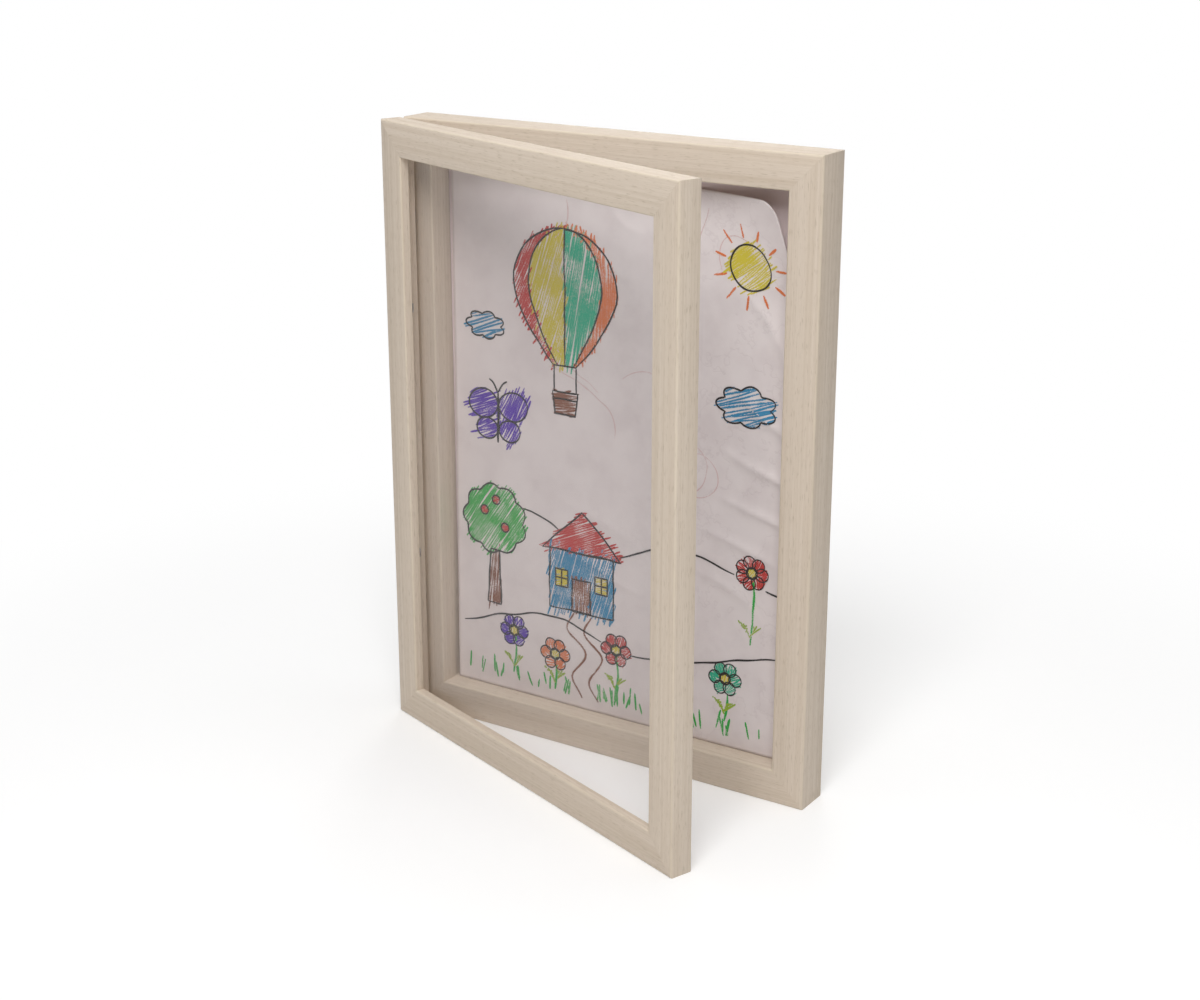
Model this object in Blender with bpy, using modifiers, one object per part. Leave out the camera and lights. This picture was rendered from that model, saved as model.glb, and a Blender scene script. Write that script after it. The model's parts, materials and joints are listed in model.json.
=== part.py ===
"""Children's art frame: a shallow wooden tray for drawings behind a glazed, hinged door.

Metres, +Z up. The frame stands on its lower edge with its front towards -Y, and the origin is
the centre of the tray's lower face. The door is laid out shut, then swung open on its hinges.
"""
import math

import bmesh
import bpy
from mathutils import Matrix, Vector

MM = 0.001

# The sheet that the frame is made for, and the room round it
SHEET_WIDTH = 210 * MM
SHEET_HEIGHT = 297 * MM
SHEET_THICKNESS = 0.4 * MM
SHEET_SIDE_PLAY = 3 * MM
SHEET_TOP_PLAY = 6 * MM
SHEET_LEAN = 3.5 * MM
SHEET_CORNER = 7 * MM
CURL_REACH = 70 * MM
CURL_RISE = 8 * MM
SHEET_COLUMNS = 12
SHEET_ROWS = 16

# Mouldings of the tray and of the door
MOULDING_FACE = 18.5 * MM
TRAY_DEPTH = 22 * MM
DOOR_DEPTH = 13 * MM
EDGE_RADIUS = 1 * MM
EDGE_STEPS = 3
MITRE_GAP = 0.2 * MM
PARTING_GAP = 0.5 * MM
REST_ANGLE = math.radians(20)

# Gap that every seated piece keeps to its seat
CLEARANCE = 0.3 * MM

# Back panel in the tray's rear rabbet, and pane in the door's rear rabbet
PANEL_THICKNESS = 3 * MM
PANEL_RECESS = 3 * MM
PANEL_LEDGE = 7 * MM
PANEL_PLAY = 0.5 * MM
DOOR_LIP = 5 * MM
PANE_THICKNESS = 2 * MM
PANE_LEDGE = 6 * MM
PANE_PLAY = 0.5 * MM

# Flat steel points that hold the panel and the pane in their rabbets
POINT_LENGTH = 9.5 * MM
POINT_WIDTH = 5 * MM
POINT_TIP = 2 * MM
POINT_BITE = 6 * MM
POINT_THICKNESS = 0.5 * MM
STILE_POINT_OFFSET = 70 * MM

# Vee nails driven across the mitres from behind
VEE_LEG = 5 * MM
VEE_THICKNESS = 0.6 * MM
VEE_HALF_ANGLE = math.radians(50)
VEE_DEPTH = 7 * MM
VEE_INSET = 0.2 * MM
VEE_FROM_CORNER = 7 * MM

# Butt hinges let in between the left stiles
HINGE_LENGTH = 25 * MM
HINGE_FROM_END = 60 * MM
LEAF_WIDTH = 7 * MM
LEAF_THICKNESS = 0.9 * MM
LEAF_CORNER = 1 * MM
KNUCKLES = 5
KNUCKLE_GAP = 0.3 * MM
KNUCKLE_WALL = 0.8 * MM
TONGUE_INSET = 0.1 * MM
PIN_RADIUS = 1 * MM
PIN_CLEARANCE = 0.2 * MM
PIN_PROUD = 0.6 * MM
PIN_BEVEL = 0.3 * MM

# Countersunk hinge screws
SCREW_LENGTH = 8 * MM
SCREW_TIP = 1.5 * MM
SCREW_TIP_RADIUS = 0.2 * MM
SCREW_HEAD_RADIUS = 1.8 * MM
SCREW_HEAD_DEPTH = 1 * MM
SCREW_HEAD_RIM = 0.2 * MM
SCREW_SHANK_RADIUS = 0.9 * MM
SCREW_SINK = 0.05 * MM
SCREW_FROM_END = 5 * MM
SCREW_FROM_EDGE = 4 * MM

# Catch: magnets in the tray's right stile and steel keepers in the door's
CATCH_RADIUS = 3 * MM
CATCH_LENGTH = 6 * MM
CATCH_SKIN = 1.5 * MM
CATCH_INSET = 0.2 * MM
CATCH_FROM_END = 50 * MM

# Sawtooth hangers riveted to the back panel
HANGER_LENGTH = 45 * MM
HANGER_HEIGHT = 9 * MM
HANGER_THICKNESS = 0.8 * MM
HANGER_FOOT = 8 * MM
HANGER_RAMP = 2 * MM
HANGER_RISE = 1.2 * MM
HANGER_FROM_EDGE = 16 * MM
TOOTH_PITCH = 3 * MM
TOOTH_DEPTH = 2 * MM
RIVET_RADIUS = 1 * MM
RIVET_HEAD_RADIUS = 2 * MM
RIVET_HEAD_HEIGHT = 0.7 * MM
RIVET_STEPS = 4

# Fineness of round pieces, the distance at which doubled points are welded, the angle up to
# which faces are taken as one flat face, and the angle from which an edge stays crisp
ROD_SIDES = 20
WELD = 0.001 * MM
FLAT_ANGLE = math.radians(1)
SMOOTH_ANGLE = math.radians(40)

# Sizes that follow from the ones above
FRAME_WIDTH = SHEET_WIDTH + SHEET_SIDE_PLAY + 2 * MOULDING_FACE
FRAME_HEIGHT = SHEET_HEIGHT + SHEET_TOP_PLAY + 2 * MOULDING_FACE
TRAY_FRONT = -TRAY_DEPTH / 2
DOOR_FRONT = TRAY_FRONT - PARTING_GAP - DOOR_DEPTH
TRAY_RABBET = PANEL_RECESS + PANEL_THICKNESS + CLEARANCE
DOOR_RABBET = DOOR_DEPTH - DOOR_LIP
KNUCKLE_RADIUS = PIN_RADIUS + PIN_CLEARANCE + KNUCKLE_WALL
AXIS_OUT = KNUCKLE_RADIUS + CLEARANCE
HINGE_AXIS = Vector((-FRAME_WIDTH / 2 - AXIS_OUT, TRAY_FRONT - PARTING_GAP / 2, 0))

# Each side of a mitred frame: its inward direction, its distance from the middle, its length
SIDES = {
    "top_rail": (Vector((0, 0, -1)), FRAME_HEIGHT / 2, FRAME_WIDTH),
    "bottom_rail": (Vector((0, 0, 1)), FRAME_HEIGHT / 2, FRAME_WIDTH),
    "left_stile": (Vector((1, 0, 0)), FRAME_WIDTH / 2, FRAME_HEIGHT),
    "right_stile": (Vector((-1, 0, 0)), FRAME_WIDTH / 2, FRAME_HEIGHT),
}
CORNERS = {
    "top_left": ("top_rail", "left_stile"),
    "top_right": ("top_rail", "right_stile"),
    "bottom_left": ("bottom_rail", "left_stile"),
    "bottom_right": ("bottom_rail", "right_stile"),
}
BACKWARD = Vector((0, 1, 0))

# Turns that lay an outline flat on a side, or point a rod or a screw the right way
LAY_FLAT = Matrix.Rotation(math.pi / 2, 4, "X")
HEAD_TO_FRONT = Matrix.Rotation(math.pi / 2, 4, "X")
HEAD_TO_BACK = Matrix.Rotation(-math.pi / 2, 4, "X")
ROD_INWARD = Matrix.Rotation(math.pi / 2, 4, "Y")

# Each kind of hinge leaf: front of its frame, depth of the face it lies in, the way from that
# face into the wood, the turn of its screws and its first knuckle
LEAVES = {
    "tray": (TRAY_FRONT, 0, 1, HEAD_TO_FRONT, 0),
    "door": (DOOR_FRONT, DOOR_DEPTH, -1, HEAD_TO_BACK, 1),
}


def clear_scene():
    """Start from an empty scene."""
    for old in list(bpy.data.objects):
        bpy.data.objects.remove(old, do_unlink=True)


def new_collection(name):
    """A collection linked into the scene."""
    collection = bpy.data.collections.new(name)
    bpy.context.scene.collection.children.link(collection)
    return collection


def new_finish(name, colour, roughness, metallic=0.0, alpha=1.0):
    """A Principled material in one colour."""
    material = bpy.data.materials.new(name)
    material.use_nodes = True
    shader = material.node_tree.nodes["Principled BSDF"]
    shader.inputs["Base Color"].default_value = (*colour, 1.0)
    shader.inputs["Roughness"].default_value = roughness
    shader.inputs["Metallic"].default_value = metallic
    shader.inputs["Alpha"].default_value = alpha
    material.diffuse_color = (*colour, alpha)
    return material


def new_body(name, axis):
    """An empty that carries one moving body, standing on its turning axis."""
    body = bpy.data.objects.new(name, None)
    body.location = axis
    parts.objects.link(body)
    return body


def carry(piece, body, matrix):
    """Place a piece as laid out with the door shut, and let the body carry it."""
    piece.parent = body
    piece.matrix_parent_inverse = Matrix.Translation(-body.location)
    piece.matrix_basis = matrix
    return piece


def add_part(name, mesh, finish, body, matrix):
    """A visible piece of the frame."""
    mesh.materials.append(finish)
    piece = bpy.data.objects.new(name, mesh)
    parts.objects.link(piece)
    return carry(piece, body, matrix)


def add_tool(name, mesh, body, matrix):
    """A solid that only cuts or joins other pieces."""
    tool = bpy.data.objects.new(name, mesh)
    cutters.objects.link(tool)
    tool.hide_render = True
    tool.display_type = "WIRE"
    return carry(tool, body, matrix)


def combine(piece, tool, operation="DIFFERENCE"):
    """Cut a tool out of a piece, or join it on."""
    modifier = piece.modifiers.new(tool.name, "BOOLEAN")
    modifier.operation = operation
    modifier.object = tool
    modifier.solver = "EXACT"


def at(x, y, z):
    """A shift in the axes of a side or of the frame."""
    return Matrix.Translation((x, y, z))


def finish_mesh(name, bm):
    """Write a bmesh to a mesh whose faces all point out."""
    bmesh.ops.recalc_face_normals(bm, faces=bm.faces)
    mesh = bpy.data.meshes.new(name)
    bm.to_mesh(mesh)
    bm.free()
    return mesh


def smooth(mesh):
    """Shade a round piece smooth and keep its crisp edges."""
    mesh.shade_smooth()
    mesh.set_sharp_from_angle(angle=SMOOTH_ANGLE)
    return mesh


def box_mesh(name, width, depth, height):
    """A box centred on its own origin."""
    bm = bmesh.new()
    bmesh.ops.create_cube(bm, size=1, matrix=Matrix.Diagonal((width, depth, height, 1)))
    return finish_mesh(name, bm)


def add_rod(bm, radius, length, matrix=Matrix.Identity(4)):
    """A round rod along Z, added to a bmesh."""
    ends = {"radius1": radius, "radius2": radius, "cap_ends": True}
    bmesh.ops.create_cone(bm, segments=ROD_SIDES, depth=length, matrix=matrix, **ends)


def rod_mesh(name, radius, length):
    """One round rod along Z."""
    bm = bmesh.new()
    add_rod(bm, radius, length)
    return smooth(finish_mesh(name, bm))


def outline_mesh(name, outline, depth):
    """A flat outline in XY, extruded by depth about Z = 0."""
    curve = bpy.data.curves.new(name, "CURVE")
    curve.dimensions = "2D"
    curve.fill_mode = "BOTH"
    curve.extrude = depth / 2
    spline = curve.splines.new("POLY")
    spline.points.add(len(outline) - 1)
    spline.use_cyclic_u = True
    for point, (x, y) in zip(spline.points, outline):
        point.co = (x, y, 0, 1)
    holder = bpy.data.objects.new(name, curve)
    cutters.objects.link(holder)
    evaluated = holder.evaluated_get(bpy.context.evaluated_depsgraph_get())
    filled = bpy.data.meshes.new_from_object(evaluated)
    bpy.data.objects.remove(holder, do_unlink=True)
    bm = bmesh.new()
    bm.from_mesh(filled)
    bpy.data.meshes.remove(filled)
    bmesh.ops.remove_doubles(bm, verts=bm.verts, dist=WELD)
    bmesh.ops.dissolve_limit(bm, angle_limit=FLAT_ANGLE, verts=bm.verts, edges=bm.edges)
    return finish_mesh(name, bm)


def rounded_outline(corners):
    """Outline of square corners, each (x, y, radius), with an arc where the radius isn't 0."""
    outline = []
    for index, (x, y, radius) in enumerate(corners):
        corner = Vector((x, y))
        if radius == 0:
            outline.append(corner)
            continue
        to_last = (Vector(corners[index - 1][:2]) - corner).normalized()
        to_next = (Vector(corners[(index + 1) % len(corners)][:2]) - corner).normalized()
        centre = corner + (to_last + to_next) * radius
        for step in range(EDGE_STEPS + 1):
            turn = math.pi / 2 * step / EDGE_STEPS
            reach = to_next * math.cos(turn) + to_last * math.sin(turn)
            outline.append(centre - reach * radius)
    return outline


def half_section(name, profile):
    """Half the section of a turned piece, as (radius, height) points from the top down."""
    mesh = bpy.data.meshes.new(name)
    points = [(radius, 0, height) for radius, height in profile]
    edges = [(index, index + 1) for index in range(len(points) - 1)]
    mesh.from_pydata(points, edges, [])
    return mesh


def turn(piece):
    """Revolve a half profile about the piece's own Z axis."""
    modifier = piece.modifiers.new("turn", "SCREW")
    modifier.steps = ROD_SIDES
    modifier.render_steps = ROD_SIDES
    modifier.use_merge_vertices = True
    modifier.merge_threshold = WELD
    return piece


def side_axes(side, front):
    """Axes of one side: X inward from its outer face, Y back from the front, Z along it."""
    inward, reach, _ = SIDES[side]
    along = inward.cross(BACKWARD)
    axes = Matrix((inward, BACKWARD, along)).transposed().to_4x4()
    axes.translation = Vector((0, front, FRAME_HEIGHT / 2)) - inward * reach
    return axes


def corner_axes(corner, front):
    """Axes of one corner: X along the mitre from the outer corner, Z towards the back."""
    rail, stile = CORNERS[corner]
    rail_inward, rail_reach, _ = SIDES[rail]
    stile_inward, stile_reach, _ = SIDES[stile]
    mitre = (rail_inward + stile_inward).normalized()
    axes = Matrix((mitre, BACKWARD.cross(mitre), BACKWARD)).transposed().to_4x4()
    middle = Vector((0, front, FRAME_HEIGHT / 2))
    axes.translation = middle - rail_inward * rail_reach - stile_inward * stile_reach
    return axes


def moulding_profile(depth, ledge, rabbet):
    """Section of a moulding with a rear rabbet, as (inward, backward) points."""
    wall = MOULDING_FACE - ledge
    floor = depth - rabbet
    return rounded_outline([
        (0, 0, EDGE_RADIUS),
        (MOULDING_FACE, 0, EDGE_RADIUS),
        (MOULDING_FACE, floor, 0),
        (wall, floor, 0),
        (wall, depth, 0),
        (0, depth, EDGE_RADIUS),
    ])


def mitred_bar(name, profile, length):
    """A moulding cut to length with a mitre at both ends."""
    mesh = outline_mesh(name, profile, length)
    for vertex in mesh.vertices:
        cut = vertex.co.x + MITRE_GAP / math.sqrt(2)
        vertex.co.z -= math.copysign(cut, vertex.co.z)
    return mesh


def vee_outline(grow):
    """Section of a vee nail about its mitre, made larger all round by grow."""
    half = VEE_THICKNESS / 2 + grow
    leg = Vector((math.cos(VEE_HALF_ANGLE), math.sin(VEE_HALF_ANGLE))) * (VEE_LEG + grow)
    across = Vector((-math.sin(VEE_HALF_ANGLE), math.cos(VEE_HALF_ANGLE))) * half
    tip = half / math.sin(VEE_HALF_ANGLE)
    outer = leg + across
    inner = leg - across
    return [
        (-tip, 0),
        (outer.x, -outer.y),
        (inner.x, -inner.y),
        (tip, 0),
        (inner.x, inner.y),
        (outer.x, outer.y),
    ]


def point_outline(grow):
    """A flat point, its tip in the wood, made larger all round by grow."""
    half = POINT_WIDTH / 2 + grow
    tip = -POINT_BITE - grow
    shoulder = tip + POINT_TIP
    end = POINT_LENGTH - POINT_BITE + grow
    return [(tip, 0), (shoulder, -half), (end, -half), (end, half), (shoulder, half)]


def screw_profile(grow):
    """Half section of a countersunk screw whose head lies at Z = 0, made larger by grow."""
    return [
        (0, grow),
        (SCREW_HEAD_RADIUS + grow, grow),
        (SCREW_HEAD_RADIUS + grow, -SCREW_HEAD_RIM),
        (SCREW_SHANK_RADIUS + grow, -SCREW_HEAD_DEPTH),
        (SCREW_SHANK_RADIUS + grow, SCREW_TIP - SCREW_LENGTH),
        (SCREW_TIP_RADIUS + grow, -SCREW_LENGTH - grow),
        (0, -SCREW_LENGTH - grow),
    ]


def rivet_profile():
    """Half section of a rivet: a domed head over Z = 0 and a shank through foot and panel."""
    dome = []
    for step in range(RIVET_STEPS + 1):
        turn_angle = math.pi / 2 * step / RIVET_STEPS
        radius = RIVET_HEAD_RADIUS * math.sin(turn_angle)
        dome.append((radius, RIVET_HEAD_HEIGHT * math.cos(turn_angle)))
    shank_end = -(CLEARANCE + HANGER_THICKNESS + CLEARANCE + PANEL_THICKNESS)
    return dome + [(RIVET_RADIUS, 0), (RIVET_RADIUS, shank_end), (0, shank_end)]


def hanger_outline():
    """Section of a sawtooth hanger, as (length, height off the panel), two feet and a raised bar."""
    foot_end = HANGER_LENGTH / 2
    foot_start = foot_end - HANGER_FOOT
    bar_end = foot_start - HANGER_RAMP
    lower = [(-foot_end, 0), (-foot_start, 0), (-bar_end, HANGER_RISE)]
    lower += [(-x, y) for x, y in reversed(lower)]
    upper = [(x, y + HANGER_THICKNESS) for x, y in reversed(lower)]
    return lower + upper


def teeth_outline():
    """Row of teeth cut from the lower edge of a hanger's bar, as (length, height) points."""
    bar = HANGER_LENGTH - 2 * (HANGER_FOOT + HANGER_RAMP)
    count = max(2, math.floor(bar / TOOTH_PITCH) - 1)
    start = -count * TOOTH_PITCH / 2
    edge = -HANGER_HEIGHT / 2
    outline = []
    for tooth in range(count):
        outline.append((start + tooth * TOOTH_PITCH, edge))
        outline.append((start + (tooth + 0.5) * TOOTH_PITCH, edge + TOOTH_DEPTH))
    outline.append((start + count * TOOTH_PITCH, edge))
    below = edge - TOOTH_DEPTH
    return outline + [(start + count * TOOTH_PITCH, below), (start, below)]


def knuckle_spans(first):
    """Lower and upper end of every second knuckle of a hinge, from the given one."""
    pitch = (HINGE_LENGTH + KNUCKLE_GAP) / KNUCKLES
    spans = []
    for index in range(first, KNUCKLES, 2):
        low = -HINGE_LENGTH / 2 + index * pitch
        spans.append((low, low + pitch - KNUCKLE_GAP))
    return spans


def leaf_outline(spans):
    """A hinge leaf with a tongue out to the axis at each of its knuckles."""
    half = HINGE_LENGTH / 2
    corners = [(0, -half, 0), (LEAF_WIDTH, -half, LEAF_CORNER)]
    corners += [(LEAF_WIDTH, half, LEAF_CORNER), (0, half, 0)]
    for low, high in reversed(spans):
        low += TONGUE_INSET
        high -= TONGUE_INSET
        corners += [(0, high, 0), (-AXIS_OUT, high, 0), (-AXIS_OUT, low, 0), (0, low, 0)]
    return rounded_outline(corners)


def make_mouldings(prefix, body, front, depth, ledge, rabbet):
    """Four mitred mouldings with a vee nail across each mitre."""
    profile = moulding_profile(depth, ledge, rabbet)
    bars = {}
    for side, (_, _, length) in SIDES.items():
        name = f"{prefix}_{side}"
        mesh = mitred_bar(name, profile, length)
        bars[side] = add_part(name, mesh, pale_wood, body, side_axes(side, front))
    for corner, meeting in CORNERS.items():
        name = f"{prefix}_vee_nail_{corner}"
        axes = corner_axes(corner, front) @ at(VEE_FROM_CORNER, 0, 0)
        nail = outline_mesh(name, vee_outline(0), VEE_DEPTH)
        add_part(name, nail, steel, body, axes @ at(0, 0, depth - VEE_INSET - VEE_DEPTH / 2))
        slot_depth = 2 * (VEE_DEPTH + VEE_INSET + CLEARANCE)
        slot_mesh = outline_mesh(f"{name}_slot", vee_outline(CLEARANCE), slot_depth)
        slot = add_tool(f"{name}_slot", slot_mesh, body, axes @ at(0, 0, depth))
        for side in meeting:
            combine(bars[side], slot)
    return bars


def make_points(prefix, bars, body, front, wall, seat):
    """Flat points driven into the rabbet wall just behind a panel whose back lies at seat."""
    places = {
        "top": ("top_rail", 0),
        "bottom": ("bottom_rail", 0),
        "left_upper": ("left_stile", STILE_POINT_OFFSET),
        "left_lower": ("left_stile", -STILE_POINT_OFFSET),
        "right_upper": ("right_stile", -STILE_POINT_OFFSET),
        "right_lower": ("right_stile", STILE_POINT_OFFSET),
    }
    for place, (side, along) in places.items():
        name = f"{prefix}_point_{place}"
        middle = seat + CLEARANCE + POINT_THICKNESS / 2
        axes = side_axes(side, front) @ at(wall, middle, along) @ LAY_FLAT
        add_part(name, outline_mesh(name, point_outline(0), POINT_THICKNESS), steel, body, axes)
        slot_height = POINT_THICKNESS + 2 * CLEARANCE
        slot_mesh = outline_mesh(f"{name}_slot", point_outline(CLEARANCE), slot_height)
        combine(bars[side], add_tool(f"{name}_slot", slot_mesh, body, axes))


def make_sheet_in_rabbet(name, finish, body, inset, play, thickness, middle):
    """A flat panel or pane that lies in the rabbets of all four sides."""
    width = FRAME_WIDTH - 2 * (inset + play)
    height = FRAME_HEIGHT - 2 * (inset + play)
    mesh = box_mesh(name, width, thickness, height)
    return add_part(name, mesh, finish, body, at(0, middle, FRAME_HEIGHT / 2))


def make_leaf(place, kind, stile, body, height):
    """A hinge leaf let into a stile, with its knuckles, its mortise and its two screws."""
    name = f"{place}_hinge_{kind}_leaf"
    front, face, into_wood, head_turn, first_knuckle = LEAVES[kind]
    spans = knuckle_spans(first_knuckle)
    axes = side_axes("left_stile", front) @ at(0, face, height)
    leaf_mesh = outline_mesh(name, leaf_outline(spans), LEAF_THICKNESS)
    leaf_axes = axes @ at(0, into_wood * LEAF_THICKNESS / 2, 0) @ LAY_FLAT
    leaf = add_part(name, leaf_mesh, hinge_steel, body, leaf_axes)

    barrel = axes @ at(-AXIS_OUT, -into_wood * PARTING_GAP / 2, 0)
    bm = bmesh.new()
    for low, high in spans:
        add_rod(bm, KNUCKLE_RADIUS, high - low, at(0, 0, (low + high) / 2))
    knuckles = add_tool(f"{name}_knuckles", finish_mesh(f"{name}_knuckles", bm), body, barrel)
    combine(leaf, knuckles, "UNION")
    bore_mesh = rod_mesh(f"{name}_bore", PIN_RADIUS + PIN_CLEARANCE, 2 * HINGE_LENGTH)
    combine(leaf, add_tool(f"{name}_bore", bore_mesh, body, barrel))

    mortise_depth = LEAF_THICKNESS + CLEARANCE
    mortise_width = LEAF_WIDTH + CLEARANCE
    mortise_height = HINGE_LENGTH + 2 * CLEARANCE
    mortise_mesh = box_mesh(f"{name}_mortise", 2 * mortise_width, 2 * mortise_depth, mortise_height)
    combine(stile, add_tool(f"{name}_mortise", mortise_mesh, body, axes))

    screw_along = HINGE_LENGTH / 2 - SCREW_FROM_END
    for label, along in (("upper", screw_along), ("lower", -screw_along)):
        screw_name = f"{name}_screw_{label}"
        screw_axes = axes @ at(SCREW_FROM_EDGE, into_wood * SCREW_SINK, along) @ head_turn
        screw_mesh = half_section(screw_name, screw_profile(0))
        turn(add_part(screw_name, screw_mesh, hinge_steel, body, screw_axes))
        hole_mesh = half_section(f"{screw_name}_hole", screw_profile(CLEARANCE))
        hole = turn(add_tool(f"{screw_name}_hole", hole_mesh, body, screw_axes))
        combine(leaf, hole)
        combine(stile, hole)


def make_hinges(tray_stile, door_stile):
    """Two butt hinges, each a tray leaf, a door leaf and a pin."""
    reach = FRAME_HEIGHT / 2 - HINGE_FROM_END
    for place, height in (("upper", reach), ("lower", -reach)):
        make_leaf(place, "tray", tray_stile, tray, height)
        make_leaf(place, "door", door_stile, door, height)
        name = f"{place}_hinge_pin"
        mesh = rod_mesh(name, PIN_RADIUS, HINGE_LENGTH + 2 * PIN_PROUD)
        axes = Matrix.Translation(HINGE_AXIS) @ at(0, 0, FRAME_HEIGHT / 2 + height)
        pin = add_part(name, mesh, hinge_steel, tray, axes)
        bevel = pin.modifiers.new("rounded_ends", "BEVEL")
        bevel.width = PIN_BEVEL
        bevel.segments = 2
        bevel.limit_method = "ANGLE"
        bevel.angle_limit = SMOOTH_ANGLE


def make_catch(kind, stile, body, front, mouth, depth, finish):
    """Two rods in blind bores that run outward from an inner wall of a right stile."""
    reach = FRAME_HEIGHT / 2 - CATCH_FROM_END
    for place, along in (("upper", -reach), ("lower", reach)):
        name = f"{place}_catch_{kind}"
        axes = side_axes("right_stile", front) @ at(mouth, depth, along)
        rod_place = axes @ at(-CATCH_INSET - CATCH_LENGTH / 2, 0, 0) @ ROD_INWARD
        add_part(name, rod_mesh(name, CATCH_RADIUS, CATCH_LENGTH), finish, body, rod_place)
        bore_length = 2 * (CATCH_INSET + CATCH_LENGTH + CLEARANCE)
        bore_mesh = rod_mesh(f"{name}_bore", CATCH_RADIUS + CLEARANCE, bore_length)
        combine(stile, add_tool(f"{name}_bore", bore_mesh, body, axes @ ROD_INWARD))


def make_hanger(name, side, panel):
    """A sawtooth hanger near one edge of the back panel, its teeth towards the middle."""
    inward, _, _ = SIDES[side]
    along = inward.cross(BACKWARD)
    panel_edge = MOULDING_FACE - PANEL_LEDGE + PANEL_PLAY
    inset = panel_edge + HANGER_FROM_EDGE
    seat = side_axes(side, TRAY_FRONT) @ at(inset, TRAY_DEPTH - PANEL_RECESS, 0)
    axes = Matrix((along, BACKWARD, -inward)).transposed().to_4x4()
    axes.translation = seat.translation
    off_panel = axes @ at(0, CLEARANCE, 0)
    hanger_mesh = outline_mesh(name, hanger_outline(), HANGER_HEIGHT)
    hanger = add_part(name, hanger_mesh, steel, tray, off_panel)
    teeth_mesh = outline_mesh(f"{name}_teeth", teeth_outline(), 4 * (HANGER_RISE + HANGER_THICKNESS))
    combine(hanger, add_tool(f"{name}_teeth", teeth_mesh, tray, off_panel @ LAY_FLAT))
    rivet_along = HANGER_LENGTH / 2 - HANGER_FOOT / 2
    for label, shift in (("a", -rivet_along), ("b", rivet_along)):
        rivet_name = f"{name}_rivet_{label}"
        head_seat = axes @ at(shift, 2 * CLEARANCE + HANGER_THICKNESS, 0) @ HEAD_TO_BACK
        rivet_mesh = half_section(rivet_name, rivet_profile())
        turn(add_part(rivet_name, rivet_mesh, steel, tray, head_seat))
        hole_length = 4 * (PANEL_THICKNESS + HANGER_THICKNESS)
        hole_mesh = rod_mesh(f"{rivet_name}_hole", RIVET_RADIUS + CLEARANCE, hole_length)
        hole = add_tool(f"{rivet_name}_hole", hole_mesh, tray, head_seat)
        combine(hanger, hole)
        combine(panel, hole)


def make_drawing_sheet():
    """One sheet that stands on the lower rail, leans on the panel and curls at one corner."""
    bm = bmesh.new()
    half_size = Matrix.Diagonal((SHEET_WIDTH / 2, SHEET_HEIGHT / 2, 1, 1))
    bmesh.ops.create_grid(bm, x_segments=SHEET_COLUMNS, y_segments=SHEET_ROWS, size=1, matrix=half_size)
    corner = max(bm.verts, key=lambda vertex: vertex.co.x + vertex.co.y)
    bmesh.ops.bevel(
        bm, geom=[corner], offset=SHEET_CORNER, segments=EDGE_STEPS, profile=0.5, affect="VERTICES"
    )
    for vertex in bm.verts:
        from_corner = SHEET_WIDTH / 2 - vertex.co.x + SHEET_HEIGHT / 2 - vertex.co.y
        curl = max(0, 1 - from_corner / CURL_REACH) ** 2
        rise = 0.5 + vertex.co.y / SHEET_HEIGHT
        vertex.co.z = SHEET_LEAN * (1 - rise) ** 2 + CURL_RISE * curl
    mesh = finish_mesh("drawing_sheet", bm)
    panel_front = TRAY_FRONT + TRAY_DEPTH - PANEL_RECESS - PANEL_THICKNESS
    foot = MOULDING_FACE + CLEARANCE
    place = at(0, panel_front - CLEARANCE - SHEET_THICKNESS / 2, foot + SHEET_HEIGHT / 2) @ LAY_FLAT
    sheet = add_part("drawing_sheet", mesh, paper, tray, place)
    shell = sheet.modifiers.new("thickness", "SOLIDIFY")
    shell.thickness = SHEET_THICKNESS
    shell.offset = 0


clear_scene()
parts = new_collection("childrens_art_frame")
cutters = new_collection("cutters")

pale_wood = new_finish("pale_wood", (0.66, 0.58, 0.47), 0.55)
back_board = new_finish("back_board", (0.55, 0.50, 0.45), 0.75)
clear_sheet = new_finish("clear_sheet", (0.95, 0.97, 0.97), 0.05, alpha=0.15)
paper = new_finish("paper", (0.78, 0.76, 0.75), 0.85)
steel = new_finish("steel", (0.55, 0.55, 0.56), 0.35, metallic=1.0)
hinge_steel = new_finish("hinge_steel", (0.62, 0.60, 0.56), 0.3, metallic=1.0)
magnet_metal = new_finish("magnet_metal", (0.70, 0.70, 0.72), 0.2, metallic=1.0)

tray = new_body("tray_origin", Vector((0, 0, 0)))
door = new_body("door_hinge_axis", HINGE_AXIS)

tray_bars = make_mouldings("tray", tray, TRAY_FRONT, TRAY_DEPTH, PANEL_LEDGE, TRAY_RABBET)
panel_back = TRAY_DEPTH - PANEL_RECESS
panel_wall = MOULDING_FACE - PANEL_LEDGE
back_panel = make_sheet_in_rabbet(
    "back_panel", back_board, tray, panel_wall, PANEL_PLAY, PANEL_THICKNESS,
    TRAY_FRONT + panel_back - PANEL_THICKNESS / 2,
)
make_points("panel", tray_bars, tray, TRAY_FRONT, panel_wall, panel_back)
make_hanger("portrait_hanger", "top_rail", back_panel)
make_hanger("landscape_hanger", "right_stile", back_panel)
make_drawing_sheet()

door_bars = make_mouldings("door", door, DOOR_FRONT, DOOR_DEPTH, PANE_LEDGE, DOOR_RABBET)
pane_back = DOOR_LIP + CLEARANCE + PANE_THICKNESS
pane_wall = MOULDING_FACE - PANE_LEDGE
make_sheet_in_rabbet(
    "glazing_pane", clear_sheet, door, pane_wall, PANE_PLAY, PANE_THICKNESS,
    DOOR_FRONT + pane_back - PANE_THICKNESS / 2,
)
make_points("pane", door_bars, door, DOOR_FRONT, pane_wall, pane_back)

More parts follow.
